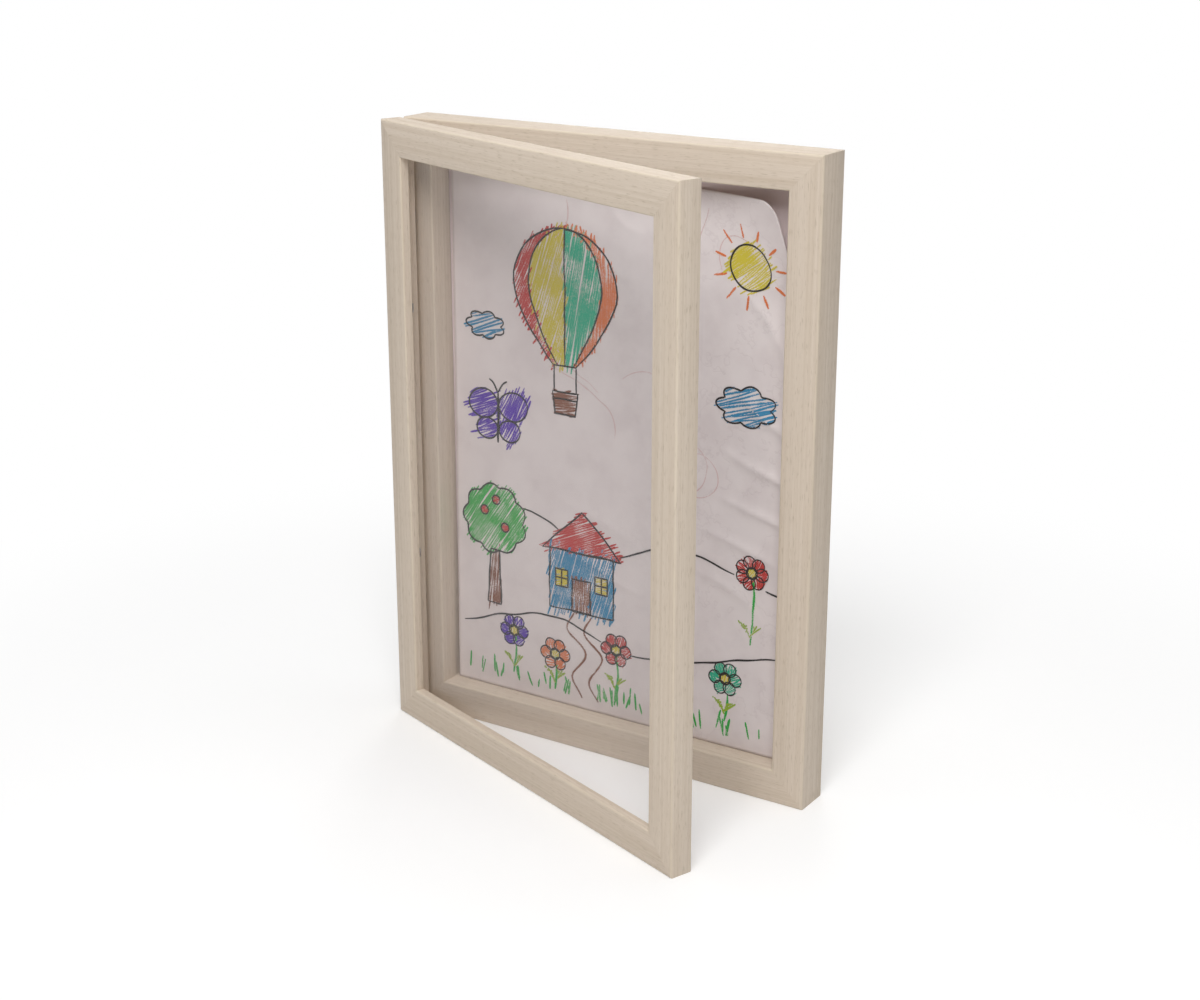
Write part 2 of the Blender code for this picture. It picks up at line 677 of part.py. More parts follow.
make_hinges(tray_bars["left_stile"], door_bars["left_stile"])
catch_depth = CATCH_SKIN + CATCH_RADIUS
keeper_depth = DOOR_DEPTH - catch_depth
make_catch("magnet", tray_bars["right_stile"], tray, TRAY_FRONT, MOULDING_FACE, catch_depth, magnet_metal)
make_catch("keeper", door_bars["right_stile"], door, DOOR_FRONT, pane_wall, keeper_depth, steel)

door.rotation_euler.z = -REST_ANGLE
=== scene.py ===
# %% [markdown]
# # A children's art frame, dressed for its portrait
# The frame is a shallow wooden tray that keeps drawings, behind a glazed door on two hinges. Its
# solids come ready made and are only dressed here: finer surfaces, a drawing on the sheet, finishes,
# a floor, light and a camera. Loading the solids first means that every size below can be taken
# from them, so nothing has to be fitted by eye.

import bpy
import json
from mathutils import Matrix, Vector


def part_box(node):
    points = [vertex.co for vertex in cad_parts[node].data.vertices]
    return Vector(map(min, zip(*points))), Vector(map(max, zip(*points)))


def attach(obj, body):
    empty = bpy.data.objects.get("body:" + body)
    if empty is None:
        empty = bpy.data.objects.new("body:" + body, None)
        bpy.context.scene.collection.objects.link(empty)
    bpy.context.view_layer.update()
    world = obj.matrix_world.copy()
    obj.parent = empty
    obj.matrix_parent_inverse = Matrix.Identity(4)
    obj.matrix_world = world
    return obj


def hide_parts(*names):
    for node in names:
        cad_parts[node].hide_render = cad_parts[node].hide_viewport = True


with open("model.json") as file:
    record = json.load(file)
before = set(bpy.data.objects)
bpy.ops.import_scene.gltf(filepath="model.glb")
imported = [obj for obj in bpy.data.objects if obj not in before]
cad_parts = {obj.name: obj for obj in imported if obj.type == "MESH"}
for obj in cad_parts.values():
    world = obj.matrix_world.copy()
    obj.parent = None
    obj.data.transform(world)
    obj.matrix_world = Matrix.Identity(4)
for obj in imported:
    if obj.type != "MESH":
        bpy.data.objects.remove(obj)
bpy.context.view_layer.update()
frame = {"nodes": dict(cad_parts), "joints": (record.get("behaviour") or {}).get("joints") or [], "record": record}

# %% Tools and units
import json
import math
import random

import bmesh
import bpy
from mathutils import Matrix, Vector, noise

MM = 0.001
scene = bpy.context.scene
scene.view_settings.view_transform = "Standard"


def srgb(red, green, blue):
    """A colour as a paint chart gives it, 0 to 255, in the linear values that a shader takes."""
    shares = (red / 255, green / 255, blue / 255)
    return tuple(s / 12.92 if s <= 0.04045 else ((s + 0.055) / 1.055) ** 2.4 for s in shares)


print("one millimetre is", MM, "metres, and mid grey is", round(srgb(128, 128, 128)[0], 3))

# %% [markdown]
# ## Camera
# The picture shows the frame from the right and from above, near enough that the door's free edge
# looks larger than its hinge side. A camera can be placed by trial, but matching the corners of both
# layers fixes it: the direction gives the turn, and the distance gives the perspective. Only the lens
# length then sets how large the frame is in the picture.

# %% Camera
CAMERA_PLACE = Vector((0.552, -0.861, 0.4833))
CAMERA_AIM = Vector((0.0122, -0.03, 0.1553))
LENS_LENGTH = 60.5
SENSOR_WIDTH = 36

camera_data = bpy.data.cameras.new("camera")
camera_data.lens = LENS_LENGTH
camera_data.sensor_width = SENSOR_WIDTH
camera = bpy.data.objects.new("camera", camera_data)
camera.location = CAMERA_PLACE
camera.rotation_euler = (CAMERA_AIM - CAMERA_PLACE).to_track_quat("-Z", "Y").to_euler()
scene.collection.objects.link(camera)
scene.camera = camera
print("camera is", round((CAMERA_AIM - CAMERA_PLACE).length, 3), "m from the frame")

# %% [markdown]
# ## Wiring helpers
# Every finish is a tree of nodes. Typing each node, value and link in full is long, so a few small
# helpers do it: one adds a node and fills its inputs, and others do sums, ease a value, blend two
# colours or lay noise over a place. A value that comes from another node is passed as its output
# socket, and everything else is a number. Two more helpers make and place node groups, for effects
# that several finishes share.

# %% Nodes and links
def feed(tree, socket, value):
    """Link a socket to another node's output, or set its own value."""
    if isinstance(value, bpy.types.NodeSocket):
        tree.links.new(value, socket)
    elif socket.type == "RGBA" and len(value) == 3:
        socket.default_value = (*value, 1.0)
    else:
        socket.default_value = value


def put(tree, kind, inputs=None, **settings):
    """Add a node with its settings, and feed its inputs by name or number."""
    node = tree.nodes.new(kind)
    for key, value in settings.items():
        setattr(node, key, value)
    for key, value in (inputs or {}).items():
        feed(tree, node.inputs[key], value)
    return node


def sums(tree, operation, *values):
    """Output of a Math node."""
    return put(tree, "ShaderNodeMath", dict(enumerate(values)), operation=operation).outputs[0]


def ramp(tree, value, low, high, start=0.0, end=1.0):
    """A value eased from start at low to end at high."""
    inputs = {"Value": value, "From Min": low, "From Max": high, "To Min": start, "To Max": end}
    return put(tree, "ShaderNodeMapRange", inputs, interpolation_type="SMOOTHSTEP").outputs[0]


def blend(tree, factor, first, second):
    """Colour between two colours."""
    return put(tree, "ShaderNodeMix", {0: factor, 6: first, 7: second}, data_type="RGBA").outputs[2]


def object_place(tree):
    """Place of a point on its object, in metres."""
    return tree.nodes.new("ShaderNodeTexCoord").outputs["Object"]


def speckle(tree, place, per_metre, detail=2.0, roughness=0.5, stretch=(1, 1, 1)):
    """Noise over a place in metres, with so many grains per metre; a small stretch lengthens them."""
    stretched = put(tree, "ShaderNodeVectorMath", {0: place, 1: stretch}, operation="MULTIPLY")
    inputs = {"Vector": stretched.outputs[0], "Scale": per_metre, "Detail": detail, "Roughness": roughness}
    return put(tree, "ShaderNodeTexNoise", inputs).outputs["Fac"]


print("node helpers ready")


# %% Groups and finishes
def new_group(name, inputs, outputs):
    """An empty shader node group with named sockets, and its two end nodes."""
    tree = bpy.data.node_groups.new(name, "ShaderNodeTree")
    for label, kind in inputs.items():
        tree.interface.new_socket(label, in_out="INPUT", socket_type=f"NodeSocket{kind}")
    for label, kind in outputs.items():
        tree.interface.new_socket(label, in_out="OUTPUT", socket_type=f"NodeSocket{kind}")
    return tree, tree.nodes.new("NodeGroupInput").outputs, tree.nodes.new("NodeGroupOutput").inputs


def use_group(tree, group, inputs):
    """Place a node group in a material and return its outputs."""
    return put(tree, "ShaderNodeGroup", inputs, node_tree=group).outputs


def new_finish(name, **constants):
    """A material with one Principled shader, whose even values are set on its own sockets."""
    material = bpy.data.materials.new(name)
    material.use_nodes = True
    shader = material.node_tree.nodes["Principled BSDF"]
    for key, value in constants.items():
        feed(material.node_tree, shader.inputs[key.replace("_", " ")], value)
    return material, material.node_tree, shader


def bump(tree, shader, height, distance):
    """Relief in metres on a shader."""
    inputs = {"Height": height, "Distance": distance, "Strength": 1.0}
    feed(tree, shader.inputs["Normal"], put(tree, "ShaderNodeBump", inputs).outputs[0])


print("group and finish helpers ready")

# %% [markdown]
# ## Floor and light
# The frame stands on a plain white floor. One soft lamp stands in front, to the right and above, so
# right-hand faces are in half shade and the top rail shades the paper below it. A second lamp overhead
# makes the upper faces the brightest, and a weak third one behind keeps the back from going grey. The
# rest is even light, stronger from above. Lamps that burn the floor to white would also burn the pale
# wood, so the floor gets a little glow that only the camera, reflections and glass see, runs to plain
# white further off, and keeps its soft shadow close by.

# %% Floor
FLOOR_HALF = 8.0
FLOOR_WHITE = (0.9, 0.9, 0.9)
FLOOR_GLOW = 0.14
SHADOW_REACH = (0.2, 0.55)
FIRST_BOUNCE = 0.5


def seen_directly(tree):
    """1 where the camera looks, also by reflection or through the pane, and 0 for light on its way."""
    paths = tree.nodes.new("ShaderNodeLightPath").outputs
    sees = sums(tree, "MAXIMUM", paths["Is Camera Ray"], paths["Is Glossy Ray"])
    sees = sums(tree, "MAXIMUM", sees, paths["Is Transmission Ray"])
    return sums(tree, "MULTIPLY", sees, sums(tree, "LESS_THAN", paths["Diffuse Depth"], FIRST_BOUNCE))


floor_mesh = bpy.data.meshes.new("floor")
floor_corners = [(x * FLOOR_HALF, y * FLOOR_HALF, 0) for x, y in ((-1, -1), (1, -1), (1, 1), (-1, 1))]
floor_mesh.from_pydata(floor_corners, [], [(0, 1, 2, 3)])
floor = bpy.data.objects.new("floor", floor_mesh)
scene.collection.objects.link(floor)

floor_finish, tree, shader = new_finish("white_floor", Base_Color=FLOOR_WHITE, Roughness=0.8)
sees = seen_directly(tree)
from_middle = put(tree, "ShaderNodeVectorMath", {0: object_place(tree)}, operation="LENGTH")
away = ramp(tree, from_middle.outputs["Value"], *SHADOW_REACH)
glow = put(tree, "ShaderNodeEmission", {"Strength": sums(tree, "MULTIPLY", sees, FLOOR_GLOW)})
near = put(tree, "ShaderNodeAddShader", {0: shader.outputs[0], 1: glow.outputs[0]})
white = put(tree, "ShaderNodeEmission", {"Strength": 1.0})
far = sums(tree, "MULTIPLY", sees, away)
mix = put(tree, "ShaderNodeMixShader", {0: far, 1: near.outputs[0], 2: white.outputs[0]})
feed(tree, tree.nodes["Material Output"].inputs["Surface"], mix.outputs[0])
floor_mesh.materials.append(floor_finish)
print("floor is", 2 * FLOOR_HALF, "m wide")

# %% Light
WORLD_LOW = 0.15
WORLD_HIGH = 0.34
WORLD_RISE = (-0.2, 1.0)
LAMP_AIM = Vector((0, 0, 0.17))
# Each lamp has a place, a width in metres and a power in watts.
LAMPS = {
    "key": (Vector((0.48, -1.06, 1.42)), 0.8, 17.6),
    "overhead": (Vector((0.1, 0.0, 1.65)), 0.9, 6.6),
    "back": (Vector((-0.55, 1.1, 0.26)), 0.45, 3.6),
}

world = bpy.data.worlds.new("studio")
world.use_nodes = True
scene.world = world
tree = world.node_tree
sees = seen_directly(tree)
upward = put(
    tree, "ShaderNodeSeparateXYZ", {0: tree.nodes.new("ShaderNodeTexCoord").outputs["Generated"]}
).outputs["Z"]
level = sums(tree, "MAXIMUM", sees, ramp(tree, upward, *WORLD_RISE, WORLD_LOW, WORLD_HIGH))
feed(tree, tree.nodes["Background"].inputs["Color"], (1.0, 1.0, 1.0))
feed(tree, tree.nodes["Background"].inputs["Strength"], level)

for name, (place, size, power) in LAMPS.items():
    lamp_data = bpy.data.lights.new(name, "AREA")
    lamp_data.size = size
    lamp_data.energy = power
    lamp = bpy.data.objects.new(name, lamp_data)
    lamp.location = place
    lamp.rotation_euler = (LAMP_AIM - place).to_track_quat("-Z", "Y").to_euler()
    scene.collection.objects.link(lamp)
    print(name, "lamp is", round((LAMP_AIM - place).length, 2), "m away")

# %% [markdown]
# ## Where each moulding lies
# Wood grain has to run along each stick and turn at the mitres, and the door's sticks are swung open.
# One texture laid over the whole frame would run straight across the joints. So each moulding gets
# its own axes: inward from its outer face, backward from its front, and along its length. The sizes
# are read from the solids; the door is turned back by the angle at which it stands ajar, and measured
# to six places, a micrometre.

# %% Member axes
tray_low, tray_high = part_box("tray_left_stile")
top_low, top_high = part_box("tray_top_rail")
hinge = frame["joints"][0]
FRAME_WIDTH = -2 * tray_low.x
FRAME_HEIGHT = top_high.z
MOULDING_FACE = top_high.z - top_low.z
TRAY_DEPTH = tray_high.y - tray_low.y
REST_ANGLE = math.radians(-hinge["range_deg"][0])
HINGE_AXIS = Vector(hinge["pos_m"])
BACKWARD = Vector((0, 1, 0))
PLACES = 6
SIDES = {
    "top_rail": (Vector((0, 0, -1)), FRAME_HEIGHT / 2),
    "bottom_rail": (Vector((0, 0, 1)), FRAME_HEIGHT / 2),
    "left_stile": (Vector((1, 0, 0)), FRAME_WIDTH / 2),
    "right_stile": (Vector((-1, 0, 0)), FRAME_WIDTH / 2),
}
DOOR_SWING = Matrix.Translation(HINGE_AXIS) @ Matrix.Rotation(-REST_ANGLE, 4, "Z")
DOOR_SWING = DOOR_SWING @ Matrix.Translation(-HINGE_AXIS)
DOOR_SHUT = DOOR_SWING.inverted()
door_points = [DOOR_SHUT @ vertex.co for vertex in frame["nodes"]["door_right_stile"].data.vertices]
door_front = round(min(point.y for point in door_points), PLACES)
door_back = round(max(point.y for point in door_points), PLACES)
# Each layer has the place of its front, its depth and its swing.
LAYERS = {
    "tray": (tray_low.y, TRAY_DEPTH, Matrix.Identity(4)),
    "door": (door_front, door_back - door_front, DOOR_SWING),
}


def member_axes(layer, side):
    """Axes of one moulding: X inward from its outer face, Y back from its front, Z along it."""
    front, _, swing = LAYERS[layer]
    inward, reach = SIDES[side]
    axes = Matrix((inward, BACKWARD, inward.cross(BACKWARD))).transposed().to_4x4()
    axes.translation = Vector((0, front, FRAME_HEIGHT / 2)) - inward * reach
    return swing @ axes


print("frame is", round(FRAME_WIDTH / MM, 1), "x", round(FRAME_HEIGHT / MM, 1), "mm")
print("door is", round(LAYERS["door"][1] / MM, 2), "mm deep")
print("it stands ajar by", round(math.degrees(REST_ANGLE), 1), "degrees")

# %% [markdown]
# ## Pieces from solids
# The solids arrive as loose triangles, which shade like cut stone. A dressed piece starts from those
# triangles, welds them, joins flat ones to whole faces again, and is shaded smooth with its true
# corners kept crisp. It then stands for its solid and moves with the same body. Modelling each piece
# again by hand would risk a different shape, and this one starts from the same points.

# %% Dressing helper
WELD = 0.001 * MM
FLAT_ANGLE = math.radians(1)
CRISP_ANGLE = math.radians(40)
BODY_OF = {node: name for name, nodes in frame["record"]["behaviour"]["bodies"].items() for node in nodes}


def add_piece(name, mesh, finish, body):
    """Put a mesh in the scene as a piece that rides on a body and takes its finish from a slot."""
    mesh.materials.append(finish)
    piece = bpy.data.objects.new(name, mesh)
    scene.collection.objects.link(piece)
    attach(piece, body)
    return piece


def smooth(mesh):
    """Shade a mesh smooth but keep its corners crisp."""
    mesh.shade_smooth()
    mesh.set_sharp_from_angle(angle=CRISP_ANGLE)
    return mesh


def welded(node):
    """A bmesh of a solid, with whole flat faces."""
    source = frame["nodes"][node].data
    bm = bmesh.new()
    for polygon in source.polygons:
        bm.faces.new([bm.verts.new(source.vertices[index].co) for index in polygon.vertices])
    bmesh.ops.remove_doubles(bm, verts=bm.verts, dist=WELD)
    bmesh.ops.dissolve_limit(bm, angle_limit=FLAT_ANGLE, verts=bm.verts, edges=bm.edges)
    return bm


def dress(node, finish, adjust=None):
    """A smooth piece that stands for a solid, with its points moved by a last adjustment if asked."""
    bm = welded(node)
    if adjust:
        adjust(bm)
    mesh = bpy.data.meshes.new(f"{node}_dressed")
    bm.to_mesh(mesh)
    bm.free()
    piece = add_piece(f"{node}_dressed", smooth(mesh), finish, BODY_OF[node])
    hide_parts(node)
    return piece


print(len(BODY_OF), "solids can be dressed")

# %% [markdown]
# ## Limed wood
# The mouldings are a pale, straight-grained wood under a thin white wash that stays in the pores, so
# the grain shows as fine lines along each stick. It could be a scanned picture, but a formula keeps
# sharp at any distance: slow bands for the growth figure, fine lines for the fibres, and short dashes
# for the pores. The corners, where hands rub the wash off, are a little smoother and warmer.

# %% Grain group
grain, given, result = new_group(
    "limed_grain",
    {"Place": "Vector", "Wash": "Color", "Wood": "Color", "Pore": "Color"},
    {"Colour": "Color", "Roughness": "Float", "Height": "Float"},
)
place = given["Place"]
figure = speckle(grain, place, per_metre=60, detail=3, roughness=0.55, stretch=(1, 1, 0.03))
bands = speckle(grain, place, per_metre=600, detail=3, roughness=0.6, stretch=(1, 1, 0.006))
fibres = speckle(grain, place, per_metre=1700, detail=3, roughness=0.65, stretch=(1, 1, 0.03))
pores = speckle(grain, place, per_metre=2100, stretch=(1, 1, 0.08))
pores = ramp(grain, pores, 0.56, 0.72)
tone = sums(grain, "ADD", sums(grain, "MULTIPLY", figure, 0.35), sums(grain, "MULTIPLY", bands, 0.65))
colour = blend(grain, ramp(grain, tone, 0.36, 0.66), given["Wash"], given["Wood"])
colour = blend(grain, ramp(grain, fibres, 0.4, 0.75, 0.0, 0.45), colour, given["Wood"])
colour = blend(grain, sums(grain, "MULTIPLY", pores, 0.6), colour, given["Pore"])
feed(grain, result["Colour"], colour)
rough = ramp(grain, fibres, 0.3, 0.7, 0.50, 0.66)
feed(grain, result["Roughness"], sums(grain, "ADD", rough, sums(grain, "MULTIPLY", pores, 0.12)))
relief = sums(grain, "SUBTRACT", sums(grain, "MULTIPLY", fibres, 0.6), pores)
feed(grain, result["Height"], relief)
print("grain group has", len(grain.nodes), "nodes")

# %% Rubbed corners group
rubbed, given, result = new_group(
    "rubbed_corners",
    {"Place": "Vector", "Face": "Float", "Depth": "Float", "Reach": "Float"},
    {"Mask": "Float"},
)
flat_inputs = {0: given["Place"], 1: (1, 1, 0)}
flat = put(rubbed, "ShaderNodeVectorMath", flat_inputs, operation="MULTIPLY").outputs[0]
nearest = None
for x, y in ((0.0, 0.0), (given["Face"], 0.0), (0.0, given["Depth"])):
    corner = put(rubbed, "ShaderNodeCombineXYZ", {0: x, 1: y}).outputs[0]
    gap = put(rubbed, "ShaderNodeVectorMath", {0: flat, 1: corner}, operation="DISTANCE").outputs["Value"]
    nearest = gap if nearest is None else sums(rubbed, "MINIMUM", nearest, gap)
patchy = speckle(rubbed, given["Place"], per_metre=120, detail=3, roughness=0.6, stretch=(1, 1, 0.3))
reach = sums(rubbed, "MULTIPLY", given["Reach"], ramp(rubbed, patchy, 0.3, 0.7, 0.4, 1.3))
mask = sums(rubbed, "SUBTRACT", 1.0, sums(rubbed, "DIVIDE", nearest, reach))
feed(rubbed, result["Mask"], ramp(rubbed, mask, 0.0, 0.8))
print("rubbed corners group has", len(rubbed.nodes), "nodes")

# %% Finish of a moulding
WASH = srgb(220, 206, 190)
WOOD = srgb(207, 191, 172)
PORE = srgb(182, 165, 143)
RUBBED = srgb(222, 208, 186)
WEAR_REACH = 1.6 * MM
WEAR_TONE = 0.45
WEAR_POLISH = 0.12
GRAIN_RELIEF = 0.05 * MM
GRAIN_SHIFT = {"tray": 0.0, "door": 4.1}
GRAIN_STEP = 0.9
MITRE_REACH = 0.3 * MM
GLUE_LINE = 0.02 * MM


def member_place(tree, axes, shift):
    """Object coordinates turned into a moulding's own axes, moved along so that no two match."""
    back = axes.inverted()
    inputs = {
        "Vector": object_place(tree),
        "Location": back.translation + Vector((0, 0, shift)),
        "Rotation": back.to_euler(),
    }
    return put(tree, "ShaderNodeMapping", inputs).outputs[0]


def limed_wood(layer, side, shift):
    """Finish of one moulding."""
    material, tree, shader = new_finish(f"limed_wood_{layer}_{side}", Specular_IOR_Level=0.3)
    place = member_place(tree, member_axes(layer, side), shift)
    depth = LAYERS[layer][1]
    wood = use_group(tree, grain, {"Place": place, "Wash": WASH, "Wood": WOOD, "Pore": PORE})
    worn = use_group(
        tree, rubbed, {"Place": place, "Face": MOULDING_FACE, "Depth": depth, "Reach": WEAR_REACH}
    )["Mask"]
    colour = blend(tree, sums(tree, "MULTIPLY", worn, WEAR_TONE), wood["Colour"], RUBBED)
    feed(tree, shader.inputs["Base Color"], colour)
    rough = sums(tree, "SUBTRACT", wood["Roughness"], sums(tree, "MULTIPLY", worn, WEAR_POLISH))
    feed(tree, shader.inputs["Roughness"], rough)
    bump(tree, shader, wood["Height"], GRAIN_RELIEF)
    return material


print("grain is", GRAIN_RELIEF / MM, "mm deep and worn", WEAR_REACH / MM, "mm round the corners")


# %% Wooden mouldings
def close_mitres(bm, axes, half_length):
    """Bring the cut ends of a moulding out to the mitre, up to a line of glue."""
    back = axes.inverted()
    for vertex in bm.verts:
        place = back @ vertex.co
        mitre = half_length - place.x
        if mitre - abs(place.z) < MITRE_REACH:
            place.z = math.copysign(mitre - GLUE_LINE, place.z)
            vertex.co = axes @ place


mouldings = {}
for layer in LAYERS:
    for number, side in enumerate(SIDES):
        axes = member_axes(layer, side)
        half_length = (FRAME_WIDTH if "rail" in side else FRAME_HEIGHT) / 2
        finish = limed_wood(layer, side, GRAIN_STEP * number + GRAIN_SHIFT[layer])
        mouldings[layer, side] = dress(
            f"{layer}_{side}", finish, lambda bm: close_mitres(bm, axes, half_length)
        )
print(len(mouldings), "mouldings dressed in limed wood")

# %% [markdown]
# ## Clear pane
# The door is glazed with a thin clear acrylic sheet. Glass shading alone would throw a dark shadow on
# the drawing, because a path tracer doesn't follow lamps through bent light. So rays that look for a
# lamp, and rays that gather light for the drawing, go straight through a faint grey tint instead. A low
# refractive index keeps the sheet as free of reflections as it looks from the front, and a trace of
# wiping marks in the gloss keeps it from looking absent.

# %% Pane
PANE_TINT = (0.96, 0.962, 0.965)
PANE_SHADE = (0.87, 0.855, 0.85)
PANE_INDEX = 1.2
PANE_GLOSS = (0.012, 0.05)

pane_finish, tree, shader = new_finish(
    "clear_acrylic", Base_Color=PANE_TINT, IOR=PANE_INDEX, Transmission_Weight=1.0
)
place = object_place(tree)
wiped = speckle(tree, place, per_metre=30, detail=3, roughness=0.6, stretch=(1, 1, 0.25))
feed(tree, shader.inputs["Roughness"], ramp(tree, wiped, 0.35, 0.8, *PANE_GLOSS))
through = put(tree, "ShaderNodeBsdfTransparent", {"Color": PANE_SHADE})
paths = tree.nodes.new("ShaderNodeLightPath").outputs
on_its_way = sums(tree, "MAXIMUM", paths["Is Shadow Ray"], paths["Is Diffuse Ray"])
mix = put(tree, "ShaderNodeMixShader", {0: on_its_way, 1: shader.outputs[0], 2: through.outputs[0]})
feed(tree, tree.nodes["Material Output"].inputs["Surface"], mix.outputs[0])
pane = dress("glazing_pane", pane_finish)
print("pane is", [round(s / MM, 1) for s in pane.dimensions], "mm as it stands ajar")

# %% [markdown]
# ## Back board
# The panel that closes the tray is pressed fibreboard: short fibres in every direction, some darker,
# with a dry, even surface. One stretched noise would look combed, so four are laid over each other,
# each turned another way, and a fifth picks out dark flecks. The board's front is lined with pale
# paper, so a depth test swaps the colour there, and one finish serves the whole board.

# %% Back board
LINING = srgb(234, 218, 220)
LINING_DEPTH = 0.2 * MM
BOARD_PALE = srgb(178, 160, 140)
BOARD_DARK = srgb(146, 126, 106)
FLECK = srgb(104, 84, 66)
FIBRE_TURNS = (0.3, 1.1, 1.9, 2.6)
BOARD_RELIEF = 0.08 * MM

board_finish, tree, shader = new_finish("pressed_fibreboard")
place = object_place(tree)
cloudy = speckle(tree, place, per_metre=28, detail=3, roughness=0.55)
fibre = 0.0
for turn in FIBRE_TURNS:
    inputs = {"Vector": place, "Angle": turn}
    turned = put(tree, "ShaderNodeVectorRotate", inputs, rotation_type="Y_AXIS").outputs[0]
    combed = speckle(tree, turned, per_metre=900, detail=3, roughness=0.65, stretch=(1, 1, 0.2))
    fibre = sums(tree, "MAXIMUM", fibre, combed)
flecks = ramp(tree, speckle(tree, place, per_metre=420, stretch=(1, 1, 0.5)), 0.64, 0.74)
colour = blend(tree, ramp(tree, fibre, 0.5, 0.76), BOARD_PALE, BOARD_DARK)
colour = blend(tree, ramp(tree, cloudy, 0.35, 0.7, 0.0, 0.35), colour, BOARD_DARK)
colour = blend(tree, sums(tree, "MULTIPLY", flecks, 0.6), colour, FLECK)
lining_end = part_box("back_panel")[0].y + LINING_DEPTH
depth = put(tree, "ShaderNodeSeparateXYZ", {0: place}).outputs["Y"]
bare = sums(tree, "GREATER_THAN", depth, lining_end)
lining = blend(tree, ramp(tree, cloudy, 0.3, 0.7, 0.0, 0.15), LINING, BOARD_PALE)
feed(tree, shader.inputs["Base Color"], blend(tree, bare, lining, colour))
feed(tree, shader.inputs["Roughness"], ramp(tree, fibre, 0.4, 0.7, 0.7, 0.86))
bump(tree, shader, fibre, BOARD_RELIEF)
dress("back_panel", board_finish)
print("back board dressed")

# %% [markdown]
# ## Plated steel
# Hangers, points, vee nails, hinges and catches are small steel pieces with a thin bright plating.
# Plating crystals give a faint mottle, and handling leaves smears and fine scratches. Each could have a
# finish of its own, but one group makes all of that, and each metal only picks its tones.

# %% Metal group
CRYSTALS_PER_METRE = 1100.0
MOTTLE_SHARE = 0.14
PLATING_RELIEF = 0.01 * MM

plated, given, result = new_group(
    "plated_steel",
    {"Place": "Vector", "Bright": "Color", "Dull": "Color"},
    {"Colour": "Color", "Roughness": "Float", "Height": "Float"},
)
place = given["Place"]
crystal_inputs = {"Vector": place, "Scale": CRYSTALS_PER_METRE}
crystals = put(plated, "ShaderNodeTexVoronoi", crystal_inputs).outputs["Color"]
crystal_tone = put(plated, "ShaderNodeSeparateColor", {0: crystals}).outputs[0]
scratches = speckle(plated, place, per_metre=2600, detail=3, roughness=0.6, stretch=(1, 1, 0.05))
scratches = ramp(plated, scratches, 0.5, 0.72)
smears = speckle(plated, place, per_metre=140, detail=3, roughness=0.6)
mottle = sums(plated, "MULTIPLY", crystal_tone, MOTTLE_SHARE)
tone = sums(plated, "ADD", mottle, sums(plated, "MULTIPLY", smears, 1 - MOTTLE_SHARE))
colour = blend(plated, ramp(plated, tone, 0.3, 0.75), given["Bright"], given["Dull"])
feed(plated, result["Colour"], colour)
rough = ramp(plated, smears, 0.3, 0.7, 0.22, 0.40)
rough = sums(plated, "ADD", rough, sums(plated, "MULTIPLY", scratches, 0.12))
feed(plated, result["Roughness"], rough)
feed(plated, result["Height"], sums(plated, "SUBTRACT", mottle, scratches))
print("plated steel group has", len(plated.nodes), "nodes")


# %% Metal finishes
def plated_finish(name, bright, dull):
    """Finish of one plated metal."""
    material, tree, shader = new_finish(name, Metallic=1.0)
    place = object_place(tree)
    metal = use_group(tree, plated, {"Place": place, "Bright": bright, "Dull": dull})
    feed(tree, shader.inputs["Base Color"], metal["Colour"])
    feed(tree, shader.inputs["Roughness"], metal["Roughness"])
    bump(tree, shader, metal["Height"], PLATING_RELIEF)
    return material


METALS = {
    "steel": plated_finish("zinc_plated_steel", srgb(196, 197, 198), srgb(150, 152, 156)),
    "hinge_steel": plated_finish("nickel_plated_steel", srgb(208, 199, 190), srgb(172, 163, 154)),
    "magnet_metal": plated_finish("nickel_plated_magnet", srgb(210, 210, 212), srgb(176, 176, 180)),
}
print(len(METALS), "metals mixed")

# %% [markdown]
# ## Steel pieces
# Most steel pieces need only their smooth copy and the plating. The hinge screws need one thing more:
# a cross in the head for the driver. It could be drawn in the finish, but a real recess catches
# light from every side, so a small tapered cross is cut out of each head.

# %% Cross recess
RECESS_SPAN = 2.5 * MM
RECESS_WIDTH = 0.62 * MM
RECESS_DEPTH = 0.7 * MM
RECESS_TAPER = 0.55
FACING = {"tray": Vector((0, -1, 0)), "door": DOOR_SWING.to_3x3() @ Vector((0, 1, 0))}


def head_axes(node, facing):
    """Place of a screw's head, with Z out of the head."""
    points = [vertex.co for vertex in frame["nodes"][node].data.vertices]
    middle = sum(points, Vector()) / len(points)
    top = max(point.dot(facing) for point in points)
    axes = facing.to_track_quat("Z", "X").to_matrix().to_4x4()
    axes.translation = middle + facing * (top - middle.dot(facing))
    return axes


def cross_cutter(axes):
    """A tapered cross that stands half out of a screw's head."""
    bm = bmesh.new()
    for size in ((RECESS_SPAN, RECESS_WIDTH), (RECESS_WIDTH, RECESS_SPAN)):
        made = bmesh.ops.create_cube(bm, size=1)["verts"]
        for vertex in made:
            share = RECESS_TAPER if vertex.co.z < 0 else 1.0
            long_share = share if size[0] > size[1] else 1.0
            wide_share = share if size[1] > size[0] else 1.0
            vertex.co.x *= size[0] * long_share
            vertex.co.y *= size[1] * wide_share
            vertex.co.z *= 2 * RECESS_DEPTH
            vertex.co = axes @ vertex.co
    mesh = bpy.data.meshes.new("cross_cutter")
    bm.to_mesh(mesh)
    bm.free()
    return mesh


print("recess is", RECESS_SPAN / MM, "mm across and", RECESS_DEPTH / MM, "mm deep")


